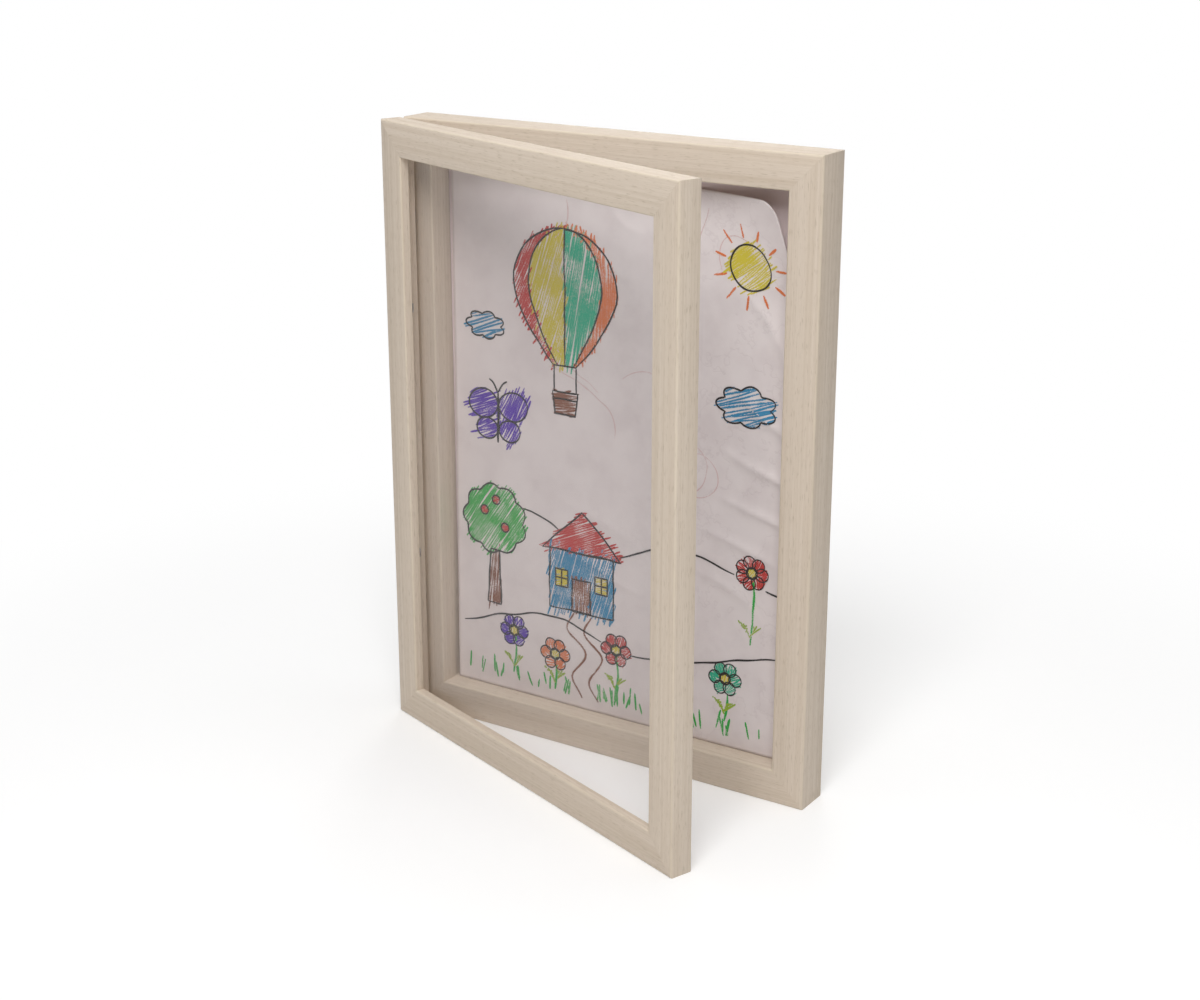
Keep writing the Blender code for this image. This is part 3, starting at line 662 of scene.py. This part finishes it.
# %% Steel pieces
def carve(piece, cutter_mesh):
    """Cut a mesh out of a piece for good."""
    cutter = bpy.data.objects.new("cutter", cutter_mesh)
    scene.collection.objects.link(cutter)
    cut = piece.modifiers.new("cut", "BOOLEAN")
    cut.operation = "DIFFERENCE"
    cut.object = cutter
    cut.solver = "EXACT"
    cut.use_self = True
    evaluated = piece.evaluated_get(bpy.context.evaluated_depsgraph_get())
    mesh = bpy.data.meshes.new_from_object(evaluated)
    piece.modifiers.clear()
    piece.data = smooth(mesh)
    bpy.data.objects.remove(cutter, do_unlink=True)


metal_pieces = {}
for node, solid in frame["nodes"].items():
    slot = solid.data.materials[0].name
    if slot in METALS:
        metal_pieces[node] = dress(node, METALS[slot])
        if "_screw_" in node:
            kind = "tray" if "_tray_" in node else "door"
            carve(metal_pieces[node], cross_cutter(head_axes(node, FACING[kind])))
print(len(metal_pieces), "steel pieces dressed")

# %% [markdown]
# ## The sheet of paper
# The drawing is on one sheet of stout paper that stands on the lower rail, leans back on the board and
# curls forward at its upper right corner. A flat card would look dead, and a cloth simulation would
# drift, so its shape is one formula: how far each point stands forward. It leans, curls and buckles as
# a whole, and has soft folds in patches on the right, where hands have held it. The lines of the drawing
# use the same formula, so they lie on the paper everywhere.

# %% Sheet sizes
SHEET_WIDTH = 210 * MM
SHEET_HEIGHT = 297 * MM
SHEET_THICKNESS = 0.4 * MM
SHEET_LEAN = 3.5 * MM
SHEET_CORNER = 9 * MM
SHEET_ASIDE = 0.8 * MM
CURL_REACH = 75 * MM
CURL_RISE = 10 * MM
SLANT = 10 * MM
SLANT_REACH = 46 * MM
SLANT_DROP = 1.5 * MM
PLAY = 0.3 * MM

board_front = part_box("back_panel")[0].y
sheet_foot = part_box("drawing_sheet")[0].z
print("sheet is", round(SHEET_WIDTH / MM), "x", round(SHEET_HEIGHT / MM), "mm flat")

# %% Sheet shape
BUCKLE = 0.9 * MM
BUCKLE_WAVES = (14, 9)
CRUMPLE = 0.4 * MM
CRUMPLE_WAVES = (34, 26)
FOLD_RISE = 2.2 * MM
FOLD_STEP = 29 * MM
FOLD_SLANT = 0.55
FOLD_WANDER = 1.4
WANDER_WAVES = (11, 11)
PATCH_WAVES = (17, 13)
PATCH_BASE = 0.05
PATCH_GAIN = 1.6
HANDLED_LEAST = 0.15
HANDLED_MIDDLE = 0.35
HANDLED_PER_METRE = 7


def waves(x, y, count, layer):
    """A place for noise over the flat sheet, with so many waves per metre across and upward."""
    return Vector((x * count[0], y * count[1], layer))


def curl(x, y):
    """Share of the curl at a point of the flat sheet, 1 at the upper right corner."""
    from_corner = SHEET_WIDTH / 2 - x + SHEET_HEIGHT / 2 - y
    return max(0.0, 1 - from_corner / CURL_REACH) ** 2


def sheet_rise(x, y):
    """How far the sheet stands forward of the board at a point of the flat sheet."""
    up = 0.5 + y / SHEET_HEIGHT
    buckle = 0.5 + 0.5 * noise.noise(waves(x, y, BUCKLE_WAVES, 0.7))
    handled = min(1.0, max(HANDLED_LEAST, HANDLED_MIDDLE + HANDLED_PER_METRE * x))
    crumple = abs(noise.turbulence(waves(x, y, CRUMPLE_WAVES, 5.2), 3, False))
    wander = noise.noise(waves(x, y, WANDER_WAVES, 2.4))
    patch = max(0.0, PATCH_BASE + PATCH_GAIN * noise.noise(waves(x, y, PATCH_WAVES, 8.6)))
    fold = 1 - abs(math.sin(math.pi * ((y + FOLD_SLANT * x) / FOLD_STEP + FOLD_WANDER * wander)))
    creases = handled * (CRUMPLE * crumple + FOLD_RISE * fold ** 3 * patch)
    return SHEET_LEAN * (1 - up) ** 2 + CURL_RISE * curl(x, y) + BUCKLE * buckle * up + creases


def on_sheet(x, y, lift):
    """A point of the flat sheet in the frame, lifted off its front."""
    forward = PLAY + SHEET_THICKNESS + sheet_rise(x, y) + lift
    upper = max(0.0, 1 - (SHEET_HEIGHT / 2 - y) / SLANT_REACH)
    rightward = max(0.0, 2 * x / SHEET_WIDTH) ** 2
    return Vector((
        x + SHEET_ASIDE - SLANT * upper * rightward,
        board_front - forward,
        sheet_foot + SHEET_HEIGHT / 2 + y - SLANT_DROP * upper * rightward,
    ))


stand_off = board_front - on_sheet(0, -SHEET_HEIGHT / 2, 0).y
print("sheet stands", round(stand_off / MM, 1), "mm off the board at its foot")

# %% Sheet mesh
CELL = 1.5 * MM


def round_corner(x, y):
    """A point of a square sheet moved so that the upper right corner is round."""
    across = (x - SHEET_WIDTH / 2) / SHEET_CORNER + 1
    up = (y - SHEET_HEIGHT / 2) / SHEET_CORNER + 1
    if across <= 0 or up <= 0:
        return x, y
    moved = across * math.sqrt(1 - up * up / 2), up * math.sqrt(1 - across * across / 2)
    return (
        SHEET_WIDTH / 2 + (moved[0] - 1) * SHEET_CORNER,
        SHEET_HEIGHT / 2 + (moved[1] - 1) * SHEET_CORNER,
    )


def sheet_mesh():
    """The front of the sheet as a fine grid."""
    columns = round(SHEET_WIDTH / CELL)
    rows = round(SHEET_HEIGHT / CELL)
    points = []
    for row in range(rows + 1):
        for column in range(columns + 1):
            x = (column / columns - 0.5) * SHEET_WIDTH
            y = (row / rows - 0.5) * SHEET_HEIGHT
            points.append(on_sheet(*round_corner(x, y), 0))
    faces = []
    for row in range(rows):
        for column in range(columns):
            first = row * (columns + 1) + column
            faces.append((first, first + 1, first + columns + 2, first + columns + 1))
    mesh = bpy.data.meshes.new("paper_sheet")
    mesh.from_pydata(points, [], faces)
    mesh.shade_smooth()
    return mesh


print("sheet has cells of", CELL / MM, "mm")

# %% Paper tooth group
HANDLED_SIDE = (-0.03, 0.06)

tooth, given, result = new_group(
    "paper_tooth",
    {"Place": "Vector", "Paper": "Color", "Shade": "Color"},
    {"Colour": "Color", "Tooth": "Float", "Height": "Float"},
)
place = given["Place"]
grit = speckle(tooth, place, per_metre=2400, detail=3, roughness=0.6)
cloud = speckle(tooth, place, per_metre=45, detail=4, roughness=0.6)
levels = speckle(tooth, place, per_metre=22, detail=5, roughness=0.62)
creases = sums(tooth, "ABSOLUTE", sums(tooth, "SUBTRACT", levels, 0.5))
crease_line = ramp(tooth, creases, 0.0, 0.012, 1.0, 0.0)
across = put(tooth, "ShaderNodeSeparateXYZ", {0: place}).outputs["X"]
crease_line = sums(tooth, "MULTIPLY", crease_line, ramp(tooth, across, *HANDLED_SIDE))
# The paper is darker in soft clouds, which is its own uneven tone, and along fine creases on the handled side,
# which is painted shade in the crease grooves; the creases are also sunk a little in the bump.
mottle_and_crease_shade = ramp(tooth, cloud, 0.35, 0.75, 0.0, 0.6)
mottle_and_crease_shade = sums(tooth, "ADD", mottle_and_crease_shade, sums(tooth, "MULTIPLY", crease_line, 0.35))
feed(tooth, result["Colour"], blend(tooth, mottle_and_crease_shade, given["Paper"], given["Shade"]))
feed(tooth, result["Tooth"], grit)
feed(tooth, result["Height"], sums(tooth, "SUBTRACT", grit, sums(tooth, "MULTIPLY", crease_line, 1.5)))
print("paper tooth group has", len(tooth.nodes), "nodes")

# %% Sheet
PAPER = srgb(233, 224, 223)
PAPER_SHADE = srgb(218, 207, 207)
TOOTH_RELIEF = 0.03 * MM

paper_finish, tree, shader = new_finish("drawing_paper", Roughness=0.9, Specular_IOR_Level=0.25)
place = object_place(tree)
paper = use_group(tree, tooth, {"Place": place, "Paper": PAPER, "Shade": PAPER_SHADE})
feed(tree, shader.inputs["Base Color"], paper["Colour"])
feed(tree, shader.inputs["Roughness"], ramp(tree, paper["Tooth"], 0.3, 0.7, 0.82, 0.95))
bump(tree, shader, paper["Height"], TOOTH_RELIEF)
sheet = add_piece("paper_sheet", sheet_mesh(), paper_finish, "tray")
thickness = sheet.modifiers.new("thickness", "SOLIDIFY")
thickness.thickness = SHEET_THICKNESS
thickness.offset = -1
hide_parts("drawing_sheet")
print("sheet has", len(sheet.data.polygons), "faces")

# %% [markdown]
# ## Drawing tools
# The picture on the sheet is a child's: felt-pen outlines filled with crayon that strays over the
# lines. A painted picture file would blur close up. Here every mark is a thin ribbon laid on the
# paper, with its own wobble, width and pressure, and the crayon breaks up over the paper's tooth as wax
# does. Random choices come from seeded draws, so the picture is the same each time.

# %% Crayon finish
WAX_RELIEF = 0.03 * MM
WAX_EDGE = 0.7
WAX_PATCHES = (-0.12, 0.12)


def mark_finish(name, colour, cover):
    """Finish of a mark: wax or ink that covers the tooth of the paper by a given share."""
    material, tree, shader = new_finish(name, Specular_IOR_Level=0.3)
    place = object_place(tree)
    paper = use_group(tree, tooth, {"Place": place, "Paper": PAPER, "Shade": PAPER_SHADE})
    across = put(
        tree, "ShaderNodeSeparateXYZ", {0: put(tree, "ShaderNodeUVMap", uv_map="stroke").outputs[0]}
    ).outputs["Y"]
    from_line = sums(tree, "ABSOLUTE", sums(tree, "SUBTRACT", across, 0.5))
    pressure = ramp(tree, speckle(tree, place, per_metre=90), 0.3, 0.7, *WAX_PATCHES)
    wax = sums(tree, "ADD", sums(tree, "ADD", paper["Tooth"], pressure), cover)
    wax = sums(tree, "SUBTRACT", wax, sums(tree, "MULTIPLY", from_line, WAX_EDGE))
    mask = ramp(tree, wax, 0.42, 0.62)
    feed(tree, shader.inputs["Base Color"], blend(tree, mask, paper["Colour"], colour))
    feed(tree, shader.inputs["Roughness"], ramp(tree, mask, 0.0, 1.0, 0.88, 0.6))
    bump(tree, shader, mask, WAX_RELIEF)
    return material


print("wax stands", WAX_RELIEF / MM, "mm proud")

# %% Crayon box
CRAYONS = {
    "purple": srgb(92, 56, 172),
    "yellow": srgb(206, 190, 66),
    "lime": srgb(150, 176, 62),
    "red": srgb(190, 66, 62),
    "teal": srgb(52, 172, 136),
    "blue": srgb(62, 136, 176),
    "green": srgb(58, 168, 74),
    "orange": srgb(218, 122, 74),
    "brown": srgb(134, 86, 66),
    "rose": srgb(216, 188, 187),
}
INK = srgb(48, 44, 44)
mark_meshes = {name: bmesh.new() for name in [*CRAYONS, "ink"]}
for bm in mark_meshes.values():
    bm.loops.layers.uv.new("stroke")
print(len(CRAYONS), "crayons and one felt pen")

# %% Lines
MARK_STEP = 1.6
HAND_SWAY = 16
SECOND_LAYER = 100
FLOW_PARTS = 8
draws = random.Random(7)


def resample(points):
    """A polyline with points about a step apart, in millimetres."""
    line = [Vector(points[0])]
    for end in points[1:]:
        start = line[-1].copy()
        end = Vector(end)
        count = max(1, round((end - start).length / MARK_STEP))
        line += [start.lerp(end, number / count) for number in range(1, count + 1)]
    return line


def wobble(points, amount):
    """A line drawn by an unsteady hand."""
    seed = draws.uniform(0, 90)
    moved = []
    for point in resample(points):
        place = point / HAND_SWAY
        across = noise.noise(Vector((place.x, place.y, seed)))
        upward = noise.noise(Vector((place.x, place.y, seed + SECOND_LAYER)))
        moved.append(point + Vector((across, upward)) * amount)
    return moved


def flow(points):
    """A smooth line through a few points."""
    ends = [Vector(point) for point in points]
    ends = [2 * ends[0] - ends[1], *ends, 2 * ends[-1] - ends[-2]]
    line = []
    for before, start, end, after in zip(ends, ends[1:], ends[2:], ends[3:]):
        for number in range(FLOW_PARTS):
            t = number / FLOW_PARTS
            bend = (2 * before - 5 * start + 4 * end - after) * t * t
            bend += (3 * start - before - 3 * end + after) * t ** 3
            line.append(start + ((end - before) * t + bend) / 2)
    return [*line, ends[-2]]


print("lines have a point every", MARK_STEP, "mm")

# %% Strokes
LIFTS = {"crayon": (0.05, 0.10), "over": (0.10, 0.12), "ink": (0.12, 0.14)}
END_PRESS = 0.6
PRESS_RISE = 8
PRESS_CHANGE = 0.2
PRESS_REACH = 5


def stroke(colour, points, width, layer="crayon"):
    """A ribbon along a line, in millimetres on the flat sheet, thinner at its ends."""
    line = resample(points)
    bm = mark_meshes[colour]
    uv_layer = bm.loops.layers.uv["stroke"]
    lift = draws.uniform(*LIFTS["ink" if colour == "ink" else layer])
    seed = draws.uniform(0, 90)
    last = len(line) - 1
    pairs = []
    for number, point in enumerate(line):
        ahead = line[min(number + 1, last)] - line[max(number - 1, 0)]
        if ahead.length == 0:
            continue
        aside = Vector((-ahead.y, ahead.x)).normalized()
        share = number / last
        press = END_PRESS + (1 - END_PRESS) * min(1.0, PRESS_RISE * share, PRESS_RISE * (1 - share))
        change = noise.noise(Vector((point.x / PRESS_REACH, point.y / PRESS_REACH, seed)))
        press *= 1 + PRESS_CHANGE * change
        edges = [point + aside * width / 2 * press, point - aside * width / 2 * press]
        pairs.append([bm.verts.new(on_sheet(edge.x * MM, edge.y * MM, lift * MM)) for edge in edges])
    for number, (first, second) in enumerate(zip(pairs, pairs[1:])):
        face = bm.faces.new((first[1], second[1], second[0], first[0]))
        for loop, uv in zip(face.loops, ((number, 0), (number + 1, 0), (number + 1, 1), (number, 1))):
            loop[uv_layer].uv = uv


print("strokes lie up to", max(LIFTS["ink"]), "mm off the paper")

# %% Outlines and fills
FILL_TILT = 1.1
FILL_START = 0.4
FILL_BOW = 0.4
drawn_shapes = []


def outline(points, closed=True, width=1.0, shake=1.0):
    """A felt-pen line, which is kept in mind where it goes round a shape."""
    if closed:
        drawn_shapes.append(points)
        points = [*points, points[0]]
    stroke("ink", wobble(points, shake), width)


def fill(colour, points, angle, gap=0.85, width=1.3, stray=6.5, layer="crayon"):
    """Crayon strokes back and forth over a shape, straying over its edges."""
    turn = Matrix.Rotation(math.radians(-angle), 2)
    back = Matrix.Rotation(math.radians(angle), 2)
    shape = [turn @ Vector(point) for point in points]
    height = min(point.y for point in shape) + gap / 2
    top = max(point.y for point in shape)
    while height < top:
        crossings = []
        for start, end in zip(shape, [*shape[1:], shape[0]]):
            if (start.y > height) != (end.y > height):
                share = (height - start.y) / (end.y - start.y)
                crossings.append(start.x + share * (end.x - start.x))
        crossings.sort()
        for left, right in zip(crossings[::2], crossings[1::2]):
            tilt = draws.uniform(-FILL_TILT, FILL_TILT)
            start = Vector((left - stray * draws.random() ** 2 + FILL_START, height - tilt))
            end = Vector((right + stray * draws.random() ** 2 - FILL_START, height + tilt))
            middle = (start + end) / 2 + Vector((0, draws.uniform(-FILL_BOW, FILL_BOW)))
            line = [back @ start, back @ middle, back @ end]
            stroke(colour, line, width * draws.uniform(0.75, 1.2), layer)
        height += gap * draws.uniform(0.65, 1.35)


def ring(x, y, radius, tall=1.0, bumps=0, bump_size=0.0, count=48):
    """A round outline, with bumps as on a cloud or a tree if asked."""
    points = []
    for number in range(count):
        turn = 2 * math.pi * number / count
        reach = radius * (1 + bump_size * abs(math.sin(turn * bumps / 2)))
        points.append((x + reach * math.cos(turn), y + reach * tall * math.sin(turn)))
    return points


print("crayons may lean by", FILL_TILT, "mm and the hand sways every", HAND_SWAY, "mm")

# %% [markdown]
# ## The picture
# Any child's picture will do, so this one has the things that children draw everywhere: a hot-air
# balloon, the sun, clouds, a house, a tree, a butterfly and flowers. Each is a shape in millimetres
# from the middle of the sheet, filled first and outlined last, as the felt pen lies over the wax. The
# hills come after them and stop where a shape hides them. A few faint pencil lines that mean nothing
# are part of every such sheet, so they come last.

# %% Balloon and sun
def balloon(x, top, height, radius, colours):
    """A striped hot-air balloon with its basket."""
    widest = 0.42
    taper = 0.78
    fall = 1.6

    def side(share, across):
        if share < widest:
            swell = math.sqrt(1 - (1 - share / widest) ** 2)
        else:
            swell = 1 - taper * ((share - widest) / (1 - widest)) ** fall
        return x + radius * swell * math.sin(across * math.pi / 2), top - height * share

    steps = [(number / 20) ** 2 for number in range(21)]
    for number, colour in enumerate(colours):
        left = 2 * number / len(colours) - 1
        right = 2 * (number + 1) / len(colours) - 1
        gore = [side(s, left) for s in steps] + [side(s, right) for s in reversed(steps)]
        fill(colour, gore, 62 + 9 * number, stray=4.5)
        outline([side(s, right) for s in steps], closed=False, shake=0.8)
    outline([side(s, -1) for s in steps], closed=False, shake=0.8)
    outline([side(1.0, -1), side(1.0, 1)], closed=False, shake=0.5)
    low = top - height
    basket = [(x - 8, low - 14), (x + 8, low - 14), (x + 6.5, low - 27), (x - 6.5, low - 27)]
    fill("brown", basket, 8, stray=1.6)
    outline(basket)
    outline([(x - 8, low - 18.5), (x + 8, low - 18)], closed=False)
    for across in (-1, 1):
        outline([side(1.0, 0.8 * across), (x + 7 * across, low - 14)], closed=False, shake=0.6)


balloon(-32, 120, 74, 33, ("red", "yellow", "teal", "orange"))
SUN = Vector((80, 112))
SUN_RADIUS = 12
RAYS = 11
RAY_START = 15
RAY_END = (20, 24)
fill("yellow", ring(SUN.x, SUN.y, SUN_RADIUS), 35)
outline(ring(SUN.x, SUN.y, SUN_RADIUS))
for number in range(RAYS):
    turn = 2 * math.pi * number / RAYS
    way = Vector((math.cos(turn), math.sin(turn)))
    reach = draws.uniform(*RAY_END)
    stroke("orange", wobble([SUN + way * RAY_START, SUN + way * reach], 0.7), 1.4)
print("ink so far:", len(mark_meshes["ink"].faces), "faces")

# %% House and tree
HOUSE = (-42, -92)


def house_shape(*corners):
    """A shape given from the house's lower left corner."""
    return [(HOUSE[0] + x, HOUSE[1] + y) for x, y in corners]


walls = house_shape((0, 0), (42, 0), (42, 34), (0, 34))
roof = house_shape((-5, 34), (47, 34), (21, 58))
doorway = house_shape((15, 0), (27, 0), (27, 19), (15, 19))
fill("blue", walls, 74)
fill("red", roof, 24)
fill("brown", doorway, 86, gap=0.9, stray=2.5, layer="over")
for shape in (walls, roof, doorway):
    outline(shape)
for x in (4, 30):
    window = house_shape((x, 13), (x + 8, 13), (x + 8, 23), (x, 23))
    fill("yellow", window, 12, gap=0.9, stray=0.8, layer="over")
    outline(window, shake=0.6)
    outline(house_shape((x + 4, 13), (x + 4, 23)), closed=False, shake=0.4)
    outline(house_shape((x, 18), (x + 8, 18)), closed=False, shake=0.4)
trunk = [(-84, -98), (-75, -98), (-76, -66), (-82, -66)]
crown = ring(-79, -48, 19, 0.95, 9, 0.14, 80)
fill("brown", trunk, 84, gap=1.0)
fill("green", crown, 55, stray=3.2)
outline(trunk)
outline(crown, shake=0.8)
for x, y in ((-86, -44), (-72, -52), (-78, -37)):
    fill("red", ring(x, y, 2.6), 40, gap=0.9, stray=0.6, layer="over")
    outline(ring(x, y, 2.6, count=20), shake=0.4)
print("ink so far:", len(mark_meshes["ink"].faces), "faces")

# %% Clouds and butterfly
for x, y, radius in ((78, 40, 14), (-84, 62, 10)):
    cloud = ring(x, y, radius, 0.6, 7, 0.3, 80)
    fill("blue", cloud, 18, gap=1.7, stray=2.4)
    outline(cloud, shake=0.9)
BUTTERFLY = Vector((-76, 10))
for across in (-1, 1):
    for y, size in ((8, 9.5), (-6, 7)):
        wing = ring(BUTTERFLY.x + across * (size + 0.5), BUTTERFLY.y + y, size, 0.85, count=36)
        fill("purple", wing, 45 + 20 * across, gap=1.0)
        outline(wing, shake=0.7)
    feeler = [(0, 15), (3 * across, 20), (6 * across, 22)]
    outline(flow([BUTTERFLY + Vector(point) for point in feeler]), closed=False, shake=0.5)
outline([BUTTERFLY - Vector((0, 13)), BUTTERFLY + Vector((0, 15))], closed=False, width=1.6)
print("ink so far:", len(mark_meshes["ink"].faces), "faces")

# %% Flowers, grass and path
GRASS_BLADES = 52
GRASS_HALF = 98
GRASS_FOOT = -143


def flower(x, foot, tall, colour, petals=6):
    """A flower with round petals, a stem and two leaves."""
    top = foot + tall
    stroke("green", wobble(flow([(x, foot), (x + 1.5, foot + tall / 2), (x, top)]), 1.2), 1.5)
    for across in (-1, 1):
        leaf = [(x, foot + 4), (x + 7 * across, foot + 12), (x + 2 * across, foot + 11)]
        fill("lime", leaf, 50, gap=0.9, stray=0.7)
    for number in range(petals):
        turn = 2 * math.pi * number / petals
        petal = ring(x + 6 * math.cos(turn), top + 6 * math.sin(turn), 3.6, count=22)
        fill(colour, petal, 30 + 40 * number, gap=0.95, stray=1.2)
        outline(petal, shake=0.5, width=0.75)
    fill("yellow", ring(x, top, 3.2), 60, gap=0.9, stray=0.5, layer="over")
    outline(ring(x, top, 3.2, count=20), shake=0.4)


flower(-66, -138, 26, "purple")
flower(-38, -141, 21, "orange")
flower(84, -88, 40, "red", 7)
flower(70, -134, 24, "teal")
flower(2, -136, 27, "red")
for _ in range(GRASS_BLADES):
    x = draws.uniform(-GRASS_HALF, GRASS_HALF)
    foot = Vector((x, GRASS_FOOT + draws.uniform(0, 4)))
    stroke("green", [foot, foot + Vector((draws.uniform(-3, 3), draws.uniform(5, 11)))], 1.2)
for aside in (0, 11):
    path = [(-26, -93), (-30, -104), (-18, -116), (-26, -130), (-20, -142)]
    stroke("brown", wobble(flow([(x + aside, y) for x, y in path]), 1.6), 1.4)
print("ink in all:", len(mark_meshes["ink"].faces), "faces")

# %% Hills behind it all
RIDGES = (
    [(-101, -52), (-60, -38), (-8, -57), (40, -44), (101, -58)],
    [(-101, -112), (-40, -98), (20, -110), (101, -92)],
)


def inside(point, shape):
    """Whether a point lies in a closed shape."""
    odd = False
    for start, end in zip(shape, [*shape[1:], shape[0]]):
        if (start[1] > point.y) != (end[1] > point.y):
            share = (point.y - start[1]) / (end[1] - start[1])
            odd ^= point.x < start[0] + share * (end[0] - start[0])
    return odd


def clear_runs(line):
    """The parts of a line that no drawn shape hides."""
    runs = [[]]
    for point in resample(line):
        if any(inside(point, shape) for shape in drawn_shapes):
            runs.append([])
        else:
            runs[-1].append(point)
    return [run for run in runs if len(run) > 1]


for ridge in RIDGES:
    runs = clear_runs(flow(ridge))
    for run in runs:
        outline(run, closed=False, shake=1.4)
    print("hill drawn in", len(runs), "runs")

# %% Stray pencil lines
TRAILS = 8
TRAIL_STEPS = 10
TRAIL_STEP = 6
TRAIL_WIDTH = 0.7
TRAIL_ACROSS = (-85, 85)
TRAIL_UP = (-30, 125)
TRAIL_BEND = 0.45
TRAIL_SHAKE = 0.2
MARGIN = (100, 140)

for _ in range(TRAILS):
    place = Vector((draws.uniform(*TRAIL_ACROSS), draws.uniform(*TRAIL_UP)))
    heading = draws.uniform(0, 2 * math.pi)
    bend = draws.uniform(-TRAIL_BEND, TRAIL_BEND)
    trail = [place]
    for _ in range(TRAIL_STEPS):
        heading += bend + draws.uniform(-TRAIL_SHAKE, TRAIL_SHAKE)
        place = place + TRAIL_STEP * Vector((math.cos(heading), math.sin(heading)))
        if abs(place.x) > MARGIN[0] or abs(place.y) > MARGIN[1]:
            break
        trail.append(place)
    stroke("rose", wobble(flow(trail), 0.8), TRAIL_WIDTH)
print("stray lines:", len(mark_meshes["rose"].faces), "faces")

# %% Lay the marks on the sheet
WAX_THICKNESS = 0.03 * MM
WAX_COVER = 0.34
COVER = {"ink": 0.5, "rose": 0.24}

for name, bm in mark_meshes.items():
    mesh = bpy.data.meshes.new(f"{name}_marks")
    bm.to_mesh(mesh)
    bm.free()
    finish = mark_finish(f"{name}_mark", CRAYONS.get(name, INK), COVER.get(name, WAX_COVER))
    marks = add_piece(f"{name}_marks", mesh, finish, "tray")
    body = marks.modifiers.new("body", "SOLIDIFY")
    body.thickness = WAX_THICKNESS
    body.offset = 1
    print(name, "marks:", len(mesh.polygons), "faces")
